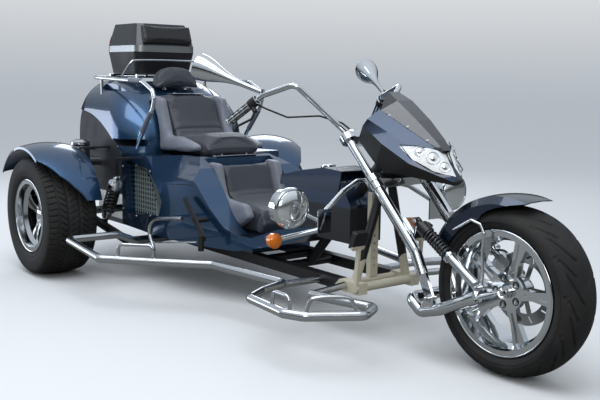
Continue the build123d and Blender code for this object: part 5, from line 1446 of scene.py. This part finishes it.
@dataclass
class Wheels(Assembly):
    """Tyres with cut treads, rim flanges, valves and bolt rings."""

    bolts: int = 5
    bolt_circle: float = 0.053
    first_nut: float = 66.0
    first_bolt: float = 38.0
    hub_face: float = 0.056
    nut_depth: float = 0.0115
    bolt_out: float = 0.0265
    disc_circle: float = 0.088
    disc_face: float = 0.0682
    valve_turn: float = math.radians(52)
    valve_depth: float = 0.030
    stem: Pairs = ((0.0, 0.0045), (0.016, 0.0040), (0.017, 0.0030), (0.024, 0.0030), (0.024, 0.0042),
                     (0.034, 0.0042), (0.036, 0.0))
    cap: Pairs = ((0.0, 0.034), (0.012, 0.033), (0.018, 0.029), (0.021, 0.018), (0.0225, 0.0))
    nut: Pairs = ((0, 0.0075), (0.016, 0.0072), (0.0195, 0.005), (0.0205, 0.0))

    def build(self) -> None:
        """Builds all three wheels' looks."""
        Tyre("front_tyre", Body.FRONT_WHEEL, (FRONT_AXLE_X, 0.0, FRONT_AXLE_Z), 0.330, 0.200, 0.242, 0.034,
             Tread.SWEEP).build(self.shop)
        centre = Vector((FRONT_AXLE_X, 0, FRONT_AXLE_Z))
        self.trim("front", Body.FRONT_WHEEL, centre, 0.0853, 0.2405, (-1, 1))
        for (side, hand), body in zip(SIDES, (Body.RIGHT_WHEEL, Body.LEFT_WHEEL)):
            middle = Vector((REAR_AXLE_X, hand * REAR_WHEEL_Y, REAR_AXLE_Z))
            Tyre("rear_tyre_" + side, body, tuple(middle), 0.336, 0.285, 0.203, 0.022,
                 Tread.BLOCKS).build(self.shop)
            self.trim("rear_" + side, body, middle, 0.1278, 0.2015, (hand,))
            self.hub(side, body, middle, hand)
        self.front_hub(centre)

    def trim(self, label: str, body: Body, centre: Vector, out: float, radius: float,
             hands: Sequence[int]) -> None:
        """A rolled flange on each seen side and a valve stem.

        Args:
            label: the wheel's name.
            body: the wheel's body.
            centre: the middle of the wheel.
            out: the flange's place from the middle.
            radius: the flange's radius.
            hands: one for the left side, minus one for the right.
        """
        for hand in hands:
            side = "left" if hand > 0 else "right"
            self.shop.lathe(f"{label}_flange_{side}", bead(out, radius, 0.0025, 0.0035, 10), centre,
                            Vector((0, hand, 0)), CHROME, body, 128)
        hand, turn = hands[0], self.valve_turn
        foot = about(centre, radius - self.valve_depth, turn, hand * (out - self.valve_depth))
        way = Vector((-math.cos(turn) * 0.3, hand, -math.sin(turn) * 0.3))
        self.shop.lathe(f"{label}_valve", self.stem, foot, way, SOFT_RUBBER, body, 16)

    def hub(self, side: str, body: Body, centre: Vector, hand: int) -> None:
        """A domed cap over the axle end and five wheel nuts in their wells.

        Args:
            side: left or right.
            body: the wheel's body.
            centre: the middle of the wheel.
            hand: one on the left, minus one on the right.
        """
        axis = Vector((0, hand, 0))
        cap = [(self.hub_face + along, radius) for along, radius in self.cap]
        self.shop.lathe(f"rear_{side}_hub_cap", cap, centre, axis, CHROME, body)
        out = hand * (self.hub_face - self.nut_depth)
        nuts = [lathe_mesh(self.nut, about(centre, self.bolt_circle, turn, out), axis, 16)
                for turn in self.turns(self.first_nut)]
        self.shop.many(f"rear_{side}_nuts", nuts, CHROME, body)

    def turns(self, first: float) -> list[float]:
        """The angles of a ring of bolts, from the first one in degrees."""
        return [math.radians(first + 360 / self.bolts * step) for step in range(self.bolts)]

    def front_hub(self, centre: Vector) -> None:
        """Dark rings round the bolt wells of the front hub, the bolt heads in them, and the disc's bolts.

        Args:
            centre: the middle of the wheel.
        """
        out = Vector((0, -1, 0))
        places = [about(centre, self.bolt_circle, turn) for turn in self.turns(self.first_bolt)]
        section = bead(0.0382, 0.0135, 0.0012, 0.0022)
        self.shop.many("front_hub_rings", [lathe_mesh(section, place, out, 24) for place in places],
                       SOFT_RUBBER, Body.FRONT_WHEEL)
        self.shop.bolts("front_hub_bolts", [(place + out * self.bolt_out, out) for place in places],
                        (0.0068, 0.011), Body.FRONT_WHEEL, socket=True)
        spots = [(about(centre, self.disc_circle, turn, self.disc_face), -out) for turn in self.turns(0.0)]
        self.shop.bolts("disc_bolts", spots, (0.006, 0.005), Body.FRONT_WHEEL, socket=True)


@dataclass
class Screws(Assembly):
    """Bolt heads over the whole trike, one piece for each row of them."""

    leg_y: float = 0.155
    pivot: tuple[float, float] = (0.790, -0.062)
    pivot_face: float = 0.0226
    leg_top: float = -0.024
    riser: tuple[float, float] = (-0.055, -0.040)
    riser_top: Place = (-0.017, 0, 0.0175)
    riser_places: tuple[float, float] = (0.052, 0.068)
    rear_eyes: Pairs = ((0.352, 0.560), (0.205, 0.318))
    rear_eye_y: float = 0.515
    front_eye: Place = (0.505, 0.074, 0.150)
    front_foot: Place = (FRONT_AXLE_X - 0.064, 0.142, FRONT_AXLE_Z + 0.016)
    axle_end: Place = (FRONT_AXLE_X, -0.0645, FRONT_AXLE_Z)
    plate: tuple[float, float] = (-0.5538, 0.425)
    belly: Place = (0.50, 0.80, 1.05)
    belly_side: tuple[float, float] = (-0.1862, 0.262)

    def build(self) -> None:
        """Sets every row."""
        for side, hand in SIDES:
            out = Vector((0, hand, 0))
            pivot = fork_at(*self.pivot, hand * self.leg_y) + out * self.pivot_face
            self.shop.bolts(f"fork_pivot_bolt_{side}", [(pivot, out)], (0.0085, 0.009), Body.FORK, CHROME)
            top = fork_at(self.leg_top, 0.0, hand * self.leg_y)
            self.shop.bolts(f"yoke_leg_cap_{side}", [(top, UP_THE_FORK)], (0.012, 0.010), Body.FORK, CHROME)
            risers = [(fork_at(*self.riser, hand * y) + Vector(self.riser_top), UP_THE_FORK)
                      for y in self.riser_places]
            self.shop.bolts(f"riser_screws_{side}", risers, (0.005, 0.006), Body.FORK, socket=True)
            eyes = [(rear(x, hand * self.rear_eye_y, z), out) for x, z in self.rear_eyes]
            self.shop.bolts(f"rear_shock_bolts_{side}", eyes, (0.0075, 0.008), Body.CHASSIS)
            down, ahead, y = self.front_eye
            foot = Vector(self.front_foot)
            foot.y *= hand
            self.shop.bolts(f"front_shock_bolts_{side}", [(fork_at(down, ahead, hand * y), out), (foot, out)],
                            (0.0075, 0.007), Body.FORK, CHROME)
        right = Vector((0, -1, 0))
        self.shop.bolts("steering_stem_nut", [(fork_at(-0.030, 0.0), UP_THE_FORK)], (0.016, 0.012), Body.FORK,
                        CHROME)
        self.shop.bolts("front_axle_nut", [(Vector(self.axle_end), right)], (0.013, 0.012), Body.FORK, CHROME)
        x, z = self.plate
        self.shop.bolts("plate_screws", [(rear(x, y, z), -AHEAD) for y in (-0.08, 0.08)], (0.0030, 0.0015),
                        Body.CHASSIS, socket=True)
        belly = [(rear(x, *self.belly_side), right) for x in self.belly]
        self.shop.bolts("belly_bolts", belly, (0.006, 0.005), Body.CHASSIS)
        self.shop.bolts("tank_cover_screws", [(rear(1.36, 0.0, 0.6625), UP)], (0.005, 0.003), Body.CHASSIS,
                        CHROME, True)


@dataclass
class Nose(Assembly):
    """What shows inside and over the headlights, and the screws of the screen."""

    lamp_corners: tuple[Place, ...] = (
        (0.215, 0.145, 0.033), (0.260, 0.095, 0.060), (0.338, 0.006, 0.083), (0.436, 0.006, 0.038),
        (0.385, 0.085, 0.030), (0.290, 0.130, 0.018))
    lamp_way: Place = (0.33, 0.56, 0.76)
    bowls: tuple[Place, ...] = ((0.285, 0.098, 0.021), (0.330, 0.062, 0.026), (0.385, 0.038, 0.022))
    screws: tuple[Place, ...] = ((0.055, 0.099, 0.058), (0.150, 0.074, 0.074), (0.255, 0.050, 0.088))

    def build(self) -> None:
        """Dresses both lamps, then screws down the screen."""
        for side, hand in SIDES:
            self.headlight(side, hand)
        tree = surface_tree(self.shop.nodes["windscreen"])
        spots = []
        for _, hand in SIDES:
            normal = (nose_at(0.0, hand * 0.45, 0.9) - nose_at(0, 0, 0)).normalized()
            for along, across, rise in self.screws:
                hit = tree.ray_cast(nose_at(along, hand * across, rise) + normal * 0.05, -normal)[0]
                if hit is not None:
                    spots.append((hit, normal))
        self.shop.bolts("screen_screws", spots, (0.0042, 0.003), Body.FORK, socket=True)

    def headlight(self, side: str, hand: int) -> None:
        """Sets three reflector bowls with rings, a seal and a clear shell.

        Args:
            side: left or right.
            hand: one on the left, minus one on the right.
        """
        tree = surface_tree(self.shop.nodes["headlights"])
        ahead, out, up = self.lamp_way
        way = (nose_at(ahead, hand * out, up) - nose_at(0, 0, 0)).normalized()
        corners = [nose_at(a, hand * y, u) for a, y, u in self.lamp_corners]
        middle = sum(corners, Vector()) / len(corners)
        bowls, rings = [], []
        for along, across, size in self.bowls:
            hit = tree.ray_cast(nose_at(along, hand * across, 0.05) + way * 0.08, -way)[0]
            if hit is None:
                continue
            bowl = [(0.0006, size), (-0.0004, size * 0.8), (0.0016, size * 0.45), (0.0046, size * 0.28),
                    (0.0062, 0.0)]
            bowls.append(lathe_mesh(bowl, hit, way, 32))
            rings.append(lathe_mesh(bead(0.0012, size, 0.0015, 0.0015), hit, way, 32))
        self.shop.many(f"headlight_bowls_{side}", bowls, REFLECTOR, Body.FORK)
        self.shop.many(f"headlight_rings_{side}", rings, CHROME, Body.FORK)
        self.shop.tube(f"headlight_seal_{side}", [c + way * 0.0020 for c in corners], 0.0022, SOFT_RUBBER,
                       Body.FORK, smooth=False, closed=True)
        shell = [c + (c - middle).normalized() * -0.002 + way * 0.0035 for c in corners]
        faces = [(i, (i + 1) % 6, 6) for i in range(6)]
        lens = self.shop.mesh(f"headlight_lens_{side}", shell + [middle + way * 0.012], faces, LENS_SHELL,
                              Body.FORK)
        rounder = lens.modifiers.new("rounder", "SUBSURF")
        rounder.levels = rounder.render_levels = 3
        rounder.boundary_smooth = "PRESERVE_CORNERS"


@dataclass
class Controls(Assembly):
    """Grip bands, housings' buttons, mirror glasses and the fuel cap."""

    bar_bend: Place = (-0.342, 0.371, 0.178)
    bar_end: Place = (-0.486, 0.449, 0.058)
    mirror_face: Place = (-0.640, 0.520, 0.305)
    grip_share: float = 0.62
    grip_radius: float = 0.0172
    strips: int = 8
    buttons: tuple[tuple[float, float], ...] = ((0.010, 0.0050), (0.022, 0.0060), (0.033, 0.0045))
    button_foot: float = 0.0222
    end_cap: Pairs = ((0.0, 0.0), (0.0, 0.0185), (0.003, 0.0190), (0.009, 0.0175), (0.012, 0.010),
                        (0.0125, 0.0))
    fuel_cap: Pairs = ((0.0, 0.0), (0.0, 0.034), (0.004, 0.036), (0.010, 0.035), (0.014, 0.030),
                         (0.016, 0.012), (0.016, 0.0))

    def build(self) -> None:
        """Dresses the bar on both sides and caps the tank."""
        for side, hand in reversed(SIDES):
            bend, end, crown = (head(x, hand * y, z)
                                for x, y, z in (self.bar_bend, self.bar_end, self.mirror_face))
            way = (bend - end).normalized()
            start = end + way * (bend - end).length * self.grip_share
            self.grip(side, start, end, way)
            self.housing(side, start, way)
            self.glass(side, bend, crown)
        tree = surface_tree(self.shop.nodes["tank_cover"])
        hit, normal = tree.ray_cast(rear(1.56, 0, 0.9), -UP)[:2]
        self.shop.lathe("fuel_cap", self.fuel_cap, hit, normal, CHROME, Body.CHASSIS)

    def grip(self, side: str, start: Vector, end: Vector, way: Vector) -> None:
        """Rubber bands along one grip and a cap on its end.

        Args:
            side: left or right.
            start: where the grip meets its housing.
            end: the bar's end.
            way: along the bar, inwards.
        """
        across = way.orthogonal().normalized()
        other = way.cross(across)
        bands = []
        for step in range(self.strips):
            turn = 2 * math.pi * step / self.strips
            out = across * math.cos(turn) + other * math.sin(turn)
            foot = out * self.grip_radius
            bands.append(strip_mesh((end + way * 0.002 + foot, start - way * 0.004 + foot),
                                    way.cross(out).normalized(), out, 0.0068, 0.0026))
        self.shop.many(f"grip_strips_{side}", bands, SOFT_RUBBER, Body.FORK)
        self.shop.lathe(f"grip_end_{side}", self.end_cap, end - way * 0.004, -way, CHROME, Body.FORK, 32)

    def housing(self, side: str, start: Vector, way: Vector) -> None:
        """Three buttons and a bright ring on one switch housing.

        Args:
            side: left or right.
            start: where the housing begins.
            way: along the bar, inwards.
        """
        up = Vector((-0.64, 0, 0.77))
        shapes = [lathe_mesh([(0.0, size), (0.004, size), (0.005, size * 0.8), (0.005, 0.0)],
                             start + way * step + up * self.button_foot, up, 20)
                  for step, size in self.buttons]
        self.shop.many(f"housing_buttons_{side}", shapes, BUTTON_GREY, Body.FORK)
        ring = [(0.0415, 0.0205), (0.0415, 0.0236), (0.044, 0.0236), (0.044, 0.0205)]
        self.shop.lathe(f"housing_ring_{side}", ring, start, way, CHROME, Body.FORK, 40)

    def glass(self, side: str, bend: Vector, crown: Vector) -> None:
        """A silvered glass in a black rim on the flat end of the mirror.

        Args:
            side: left or right.
            bend: where the stalk stands on the bar.
            crown: the middle of the mirror's face.
        """
        way = (crown - (bend + UP * 0.0138)).normalized()
        rim = [(0.0002, 0.0555), (0.0014, 0.0552), (0.0014, 0.0515), (0.0002, 0.0512)]
        self.shop.lathe(f"mirror_rim_{side}", rim, crown, way, SOFT_RUBBER, Body.FORK, 64)
        self.shop.lathe(f"mirror_glass_{side}", [(0.0008, 0.0515), (0.0008, 0.0)], crown, way, MIRROR_GLASS,
                        Body.FORK, 64)


@dataclass
class Lamps(Assembly):
    """Lenses and reflectors of the round lamps, indicators and tail lamps."""

    lamp: Place = (1.880, 0.490, 0.590)
    indicator: Place = (1.848, 0.540, 0.452)
    lens: Pairs = ((0.0385, 0.0780), (0.0445, 0.0735), (0.0520, 0.0580), (0.0570, 0.0380), (0.0590, 0.0180),
                     (0.0595, 0.0))
    rim: Pairs = ((0.018, 0.0865), (0.034, 0.0872), (0.0405, 0.0850), (0.0425, 0.0795), (0.039, 0.0775))
    amber: Pairs = ((-0.002, 0.0306), (0.024, 0.0327), (0.032, 0.0262), (0.0368, 0.0130), (0.0375, 0.0))
    tail_x: float = -0.5462
    tail_heights: tuple[float, float] = (0.528, 0.604)
    tail_span: tuple[float, float] = (0.190, 0.330)
    tail_edge: float = 0.004

    def build(self) -> None:
        """Sets the lens of each lamp."""
        for side, hand in SIDES:
            centre, light = (rear(x, hand * y, z) for x, y, z in (self.lamp, self.indicator))
            self.shop.lathe(f"lamp_lens_{side}", self.lens, centre, AHEAD, FLUTED_GLASS, Body.CHASSIS, 64)
            self.shop.lathe(f"lamp_rim_{side}", self.rim, centre, AHEAD, CHROME, Body.CHASSIS, 64)
            self.shop.lathe(f"indicator_lens_{side}", self.amber, light, AHEAD, AMBER_LENS, Body.CHASSIS)
            self.shop.tube(f"tail_frame_{side}", self.field(hand, self.tail_span, 0.0), 0.0030, CHROME,
                           Body.CHASSIS, smooth=False, closed=True)
            for label, span, finish in (("amber", (0.292, 0.328), AMBER_LENS),
                                        ("clear", (0.192, 0.214), CLEAR_LENS)):
                plate = plate_mesh(self.field(hand, span, self.tail_edge), AHEAD * -0.0022)
                self.shop.many(f"tail_{label}_{side}", [plate], finish, Body.CHASSIS, rounding=0.0015)

    def field(self, hand: int, span: tuple[float, float], edge: float) -> list[Vector]:
        """The corners of an upright field on a tail lamp.

        Args:
            hand: one on the left, minus one on the right.
            span: where it begins and ends, out from the middle.
            edge: what it stays away from the lamp's foot and top.

        Returns:
            Its four corners in order.
        """
        foot, top = self.tail_heights[0] + edge, self.tail_heights[1] - edge
        (near, far), x = span, self.tail_x
        return [rear(x, hand * y, z) for y, z in ((near, foot), (far, foot), (far, top), (near, top))]


@dataclass
class Luggage(Assembly):
    """Reflectors and latches of the top case, and the hoop before it."""

    front: float = 0.030
    back: float = -0.380
    half: float = 0.205
    corner: float = 0.056
    lid_foot: float = 1.300
    lid_height: float = 0.130
    taper: float = 0.076
    strip_steps: int = 14
    strip_heights: tuple[float, float] = (1.318, 1.358)
    strip_turns: tuple[float, float] = (-2.0, 74.0)
    latch_x: float = -0.3818
    latch_y: float = 0.120
    latch: Pairs = ((-0.022, 1.268), (0.022, 1.268), (0.016, 1.296), (-0.016, 1.296))
    hoop: tuple[Place, ...] = ((0.020, 0.300, 1.112), (0.052, 0.262, 1.200), (0.056, 0.225, 1.214))

    def corner_strip(self, hand: int) -> Shape:
        """A curved strip round a rear corner of the lid, leaning with its walls.

        Args:
            hand: one on the left, minus one on the right.

        Returns:
            The shape.
        """
        points, faces = [], []
        count = self.strip_steps
        first, last = self.strip_turns
        for level in self.strip_heights:
            taper = self.taper * (level - self.lid_foot) / self.lid_height
            middle = (self.front + self.back) / 2 - taper * 0.1
            length = self.front - self.back - taper
            width = 2 * self.half - taper * 0.8
            for reach in (self.corner + 0.0004, self.corner + 0.0030):
                for step in range(count + 1):
                    turn = math.radians(first + (last - first) * step / count)
                    x = middle - length / 2 + self.corner - reach * math.cos(turn)
                    y = hand * (width / 2 - self.corner + reach * math.sin(turn))
                    points.append(rear(x, y, level))
        row = count + 1
        for step in range(count):
            a, b, c, d = (k * row + step for k in range(4))
            faces += [(b, b + 1, d + 1, d), (c, c + 1, a + 1, a), (a, a + 1, b + 1, b), (d, d + 1, c + 1, c)]
        faces += [(step, row + step, 3 * row + step, 2 * row + step) for step in (0, count)]
        return points, faces

    def build(self) -> None:
        """Adds the case's fittings."""
        for side, hand in SIDES:
            self.shop.many(f"case_reflector_{side}", [self.corner_strip(hand)], RED_LENS, Body.LID)
            latch = [rear(self.latch_x, hand * self.latch_y + y, z) for y, z in self.latch]
            clasp = [plate_mesh(latch, AHEAD * -0.008)]
            self.shop.many(f"case_latch_{side}", clasp, CHROME, Body.CHASSIS, 0.002)
        hoop = [rear(x, -y, z) for x, y, z in self.hoop] + [rear(*place) for place in reversed(self.hoop)]
        self.shop.tube("case_hoop", hoop, 0.006, CHROME, Body.CHASSIS)


@dataclass
class Hull(Assembly):
    """The hatch lines, drawn as painted shade, and the screws on the painted body."""

    start_y: float = 0.60
    least_y: float = 0.33
    line_steps: int = 6
    hatch: Pairs = ((0.729, 0.563), (0.860, 0.572), (1.009, 0.577), (1.055, 0.560), (1.075, 0.515),
                      (1.047, 0.457))
    screws: Pairs = ((0.262, 0.375), (0.574, 0.375), (0.262, 0.615), (0.574, 0.615), (0.418, 0.352),
                       (0.418, 0.637))

    def build(self) -> None:
        """Lays each side hatch's line as a dark tube of painted shade, then sets the screws round the
        intakes.
        """
        tree = surface_tree(self.shop.nodes["body_shell"])
        for side, hand in SIDES:
            inwards = Vector((0, -hand, 0))
            line = []
            for first, second in zip(self.hatch, self.hatch[1:]):
                for step in range(self.line_steps):
                    share = step / self.line_steps
                    x, z = (a + (b - a) * share for a, b in zip(first, second))
                    hit = tree.ray_cast(rear(x, hand * self.start_y, z), inwards)[0]
                    if hit is not None:
                        line.append(hit)
            # Painted shade: a near-black tube along the hatch line
            self.shop.tube(f"hatch_gap_{side}", line, 0.0016, HATCH_GAP_SHADE, Body.CHASSIS)
            hits = [tree.ray_cast(rear(x, hand * self.start_y, z), inwards)[:2] for x, z in self.screws]
            spots = [hit for hit in hits if hit[0] is not None and abs(hit[0].y) > self.least_y]
            self.shop.bolts(f"intake_screws_{side}", spots, (0.0045, 0.003), Body.CHASSIS, socket=True)


@dataclass
class Hoses(Assembly):
    """The brake hose of the front caliper."""

    radius: float = 0.0045
    caliper_end: tuple[Place, ...] = ((1.360, 0.075, 0.440), (1.320, 0.118, 0.470))
    leg: tuple[Place, ...] = ((0.640, -0.060, 0.158), (0.480, -0.044, 0.168), (0.260, -0.040, 0.168),
                              (0.080, -0.044, 0.160), (0.020, -0.070, 0.120))

    def build(self) -> None:
        """Runs the hose up the left leg to the yoke."""
        places = [Vector(place) for place in self.caliper_end] + [fork_at(*place) for place in self.leg]
        self.shop.tube("brake_hose", places, self.radius, SOFT_RUBBER, Body.FORK)


@dataclass
class Carriers(Assembly):
    """Posts, spacers and stays that carry what stands off its neighbour, and two tubes that the CAD lacks."""

    post: tuple[float, float] = (0.118, 0.070)
    post_top: float = 1.075
    post_radius: float = 0.006
    spacers: Place = (-0.5101, 0.09, 0.452)
    spacer_radius: float = 0.008
    stay_radius: float = 0.006
    link_tube: float = 0.0105
    link_line: tuple[Place, ...] = (
        (0.705, -0.470, 0.213), (0.684, -0.470, 0.242), (0.655, -0.470, 0.291), (0.662, -0.470, 0.345),
        (0.718, -0.470, 0.380), (0.824, -0.470, 0.398), (0.994, -0.470, 0.421))
    link_rod: tuple[Place, ...] = ((0.684, -0.470, 0.250), (1.104, -0.450, 0.316))
    hoop_wire: float = 0.008
    hoop_line: tuple[Place, ...] = (
        (2.214, 0.648, 0.238), (2.222, 0.640, 0.284), (2.234, 0.624, 0.302), (2.303, 0.516, 0.302),
        (2.314, 0.498, 0.284), (2.318, 0.482, 0.238))

    def build(self) -> None:
        """Sets the headrest's posts, the number plate's spacers, the two tubes and the fairing's stays."""
        tree = surface_tree(self.shop.nodes["body_shell"])
        posts = []
        x, half = self.post
        for y in (-half, half):
            foot = tree.ray_cast(rear(x, y, 1.14), -UP)[0]
            radius = self.post_radius
            posts.append(lathe_mesh([(0, radius), (self.post_top - foot.z, radius)], foot, UP, 20))
            posts.append(lathe_mesh([(0, 0.013), (0.003, 0.012), (0.003, radius)], foot, UP, 24))
        self.shop.many("headrest_posts", posts, CHROME, Body.CHASSIS)
        x, half, z = self.spacers
        spacer = [(0, 0), (0, self.spacer_radius), (0.0040, self.spacer_radius), (0.0040, 0)]
        self.shop.many("plate_spacers", [lathe_mesh(spacer, rear(x, y, z), AHEAD, 24) for y in (-half, half)],
                       SOFT_RUBBER, Body.CHASSIS)
        self.shop.tube("link_lever", [rear(*place) for place in self.link_line], self.link_tube, STAINLESS,
                       Body.CHASSIS)
        self.shop.tube("link_rod", [rear(*place) for place in self.link_rod], 0.004, ZINC, Body.CHASSIS)
        for side, hand in SIDES:
            stay = [fork_at(0.020, 0.030, hand * 0.120), fork_at(0.020, 0.075, hand * 0.118),
                    nose_at(0.060, hand * 0.100, -0.010)]
            self.shop.tube(f"fairing_stay_{side}", stay, self.stay_radius, POWDER_BLACK, Body.FORK)
            hoop = [rear(x, hand * y, z) for x, y, z in self.hoop_line]
            self.shop.tube(f"foot_hoop_{side}", hoop, self.hoop_wire, STAINLESS, Body.CHASSIS)


@dataclass
class FineMesh(Assembly):
    """A close wire cloth behind each intake's coarse grid, at a pitch of 5.5 mm so that it shows."""

    level: float = 0.3596
    pitch: float = 0.0055
    wire: float = 0.0009
    window: tuple[float, float, float, float] = (0.279, 0.557, 0.360, 0.629)
    probe_y: float = 0.375
    probe_reach: float = 0.03
    probes: int = 60
    nudges: Place = (0.0, 0.004, -0.004)

    def build(self) -> None:
        """Lays upright and level wires, each as long as the grid is there."""
        tree = surface_tree(self.shop.nodes["intake_grilles"])
        back, front, low, high = self.window
        for side, hand in SIDES:
            wires = []
            for upright in (True, False):
                first, last, start, stop = (back, front, low, high) if upright else (low, high, back, front)
                place = first + self.pitch / 2
                while place < last:
                    span = self.reach(tree, hand, place, (start, stop), upright)
                    if span is not None:
                        wires.append(self.bar(hand, place, span, upright))
                    place += self.pitch
            self.shop.many(f"intake_cloth_{side}", wires, MESH_METAL, Body.CHASSIS)

    def reach(self, tree: BVHTree, hand: int, place: float, limits: tuple[float, float],
              upright: bool) -> tuple[float, float] | None:
        """Where along a line the coarse grid begins and ends.

        Args:
            tree: the grid's faces.
            hand: one on the left, minus one on the right.
            place: where the line lies.
            limits: where the window begins and ends along it.
            upright: whether the line is upright or level.

        Returns:
            Both ends, or nothing where the grid isn't there.
        """
        found = []
        inwards = Vector((0, -hand, 0))
        start, stop = limits
        for step in range(self.probes):
            along = start + (stop - start) * (step + 0.5) / self.probes
            x, z = (place, along) if upright else (along, place)
            starts = (rear(x + nudge, hand * self.probe_y, z) for nudge in self.nudges)
            if any(tree.ray_cast(begin, inwards, self.probe_reach)[0] is not None for begin in starts):
                found.append(along)
        return (min(found), max(found)) if len(found) > 1 else None

    def bar(self, hand: int, place: float, span: tuple[float, float], upright: bool) -> Shape:
        """One thin square wire.

        Args:
            hand: one on the left, minus one on the right.
            place: where it lies.
            span: where it begins and ends.
            upright: whether it is upright or level.

        Returns:
            The shape.
        """
        half = self.wire / 2
        depth = self.level - (0.0 if upright else self.wire)
        corners = []
        for along, wide in ((span[0], -half), (span[1], -half), (span[1], half), (span[0], half)):
            x, z = (place + wide, along) if upright else (along, place + wide)
            corners.append(rear(x, hand * depth, z))
        return plate_mesh(corners, Vector((0, -hand * self.wire, 0)))


class Trike:
    """The whole trike: it dresses the CAD nodes, then adds what the CAD leaves out."""

    def __init__(self, frame: dict) -> None:
        """Takes the loaded frame."""
        self.shop = Workshop(frame["nodes"])

    def build(self) -> None:
        """Builds the sub-assemblies in order."""
        for name, finish in NODE_FINISHES.items():
            dress(self.shop.nodes[name], finish)
        log.info("nodes without a finish: %s", sorted(set(self.shop.nodes) - set(NODE_FINISHES)))
        for group in (Wheels, Seats, Hull, Nose, Controls, Lamps, Luggage, Screws, Hoses, Carriers, FineMesh):
            group(self.shop).build()
            log.info("%s done", group.__name__)


def main() -> None:
    """Builds the studio and the trike."""
    logging.basicConfig(level=logging.INFO, format="%(message)s")
    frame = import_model()
    Studio().build()
    Trike(frame).build()


if __name__ == "__main__":
    main()
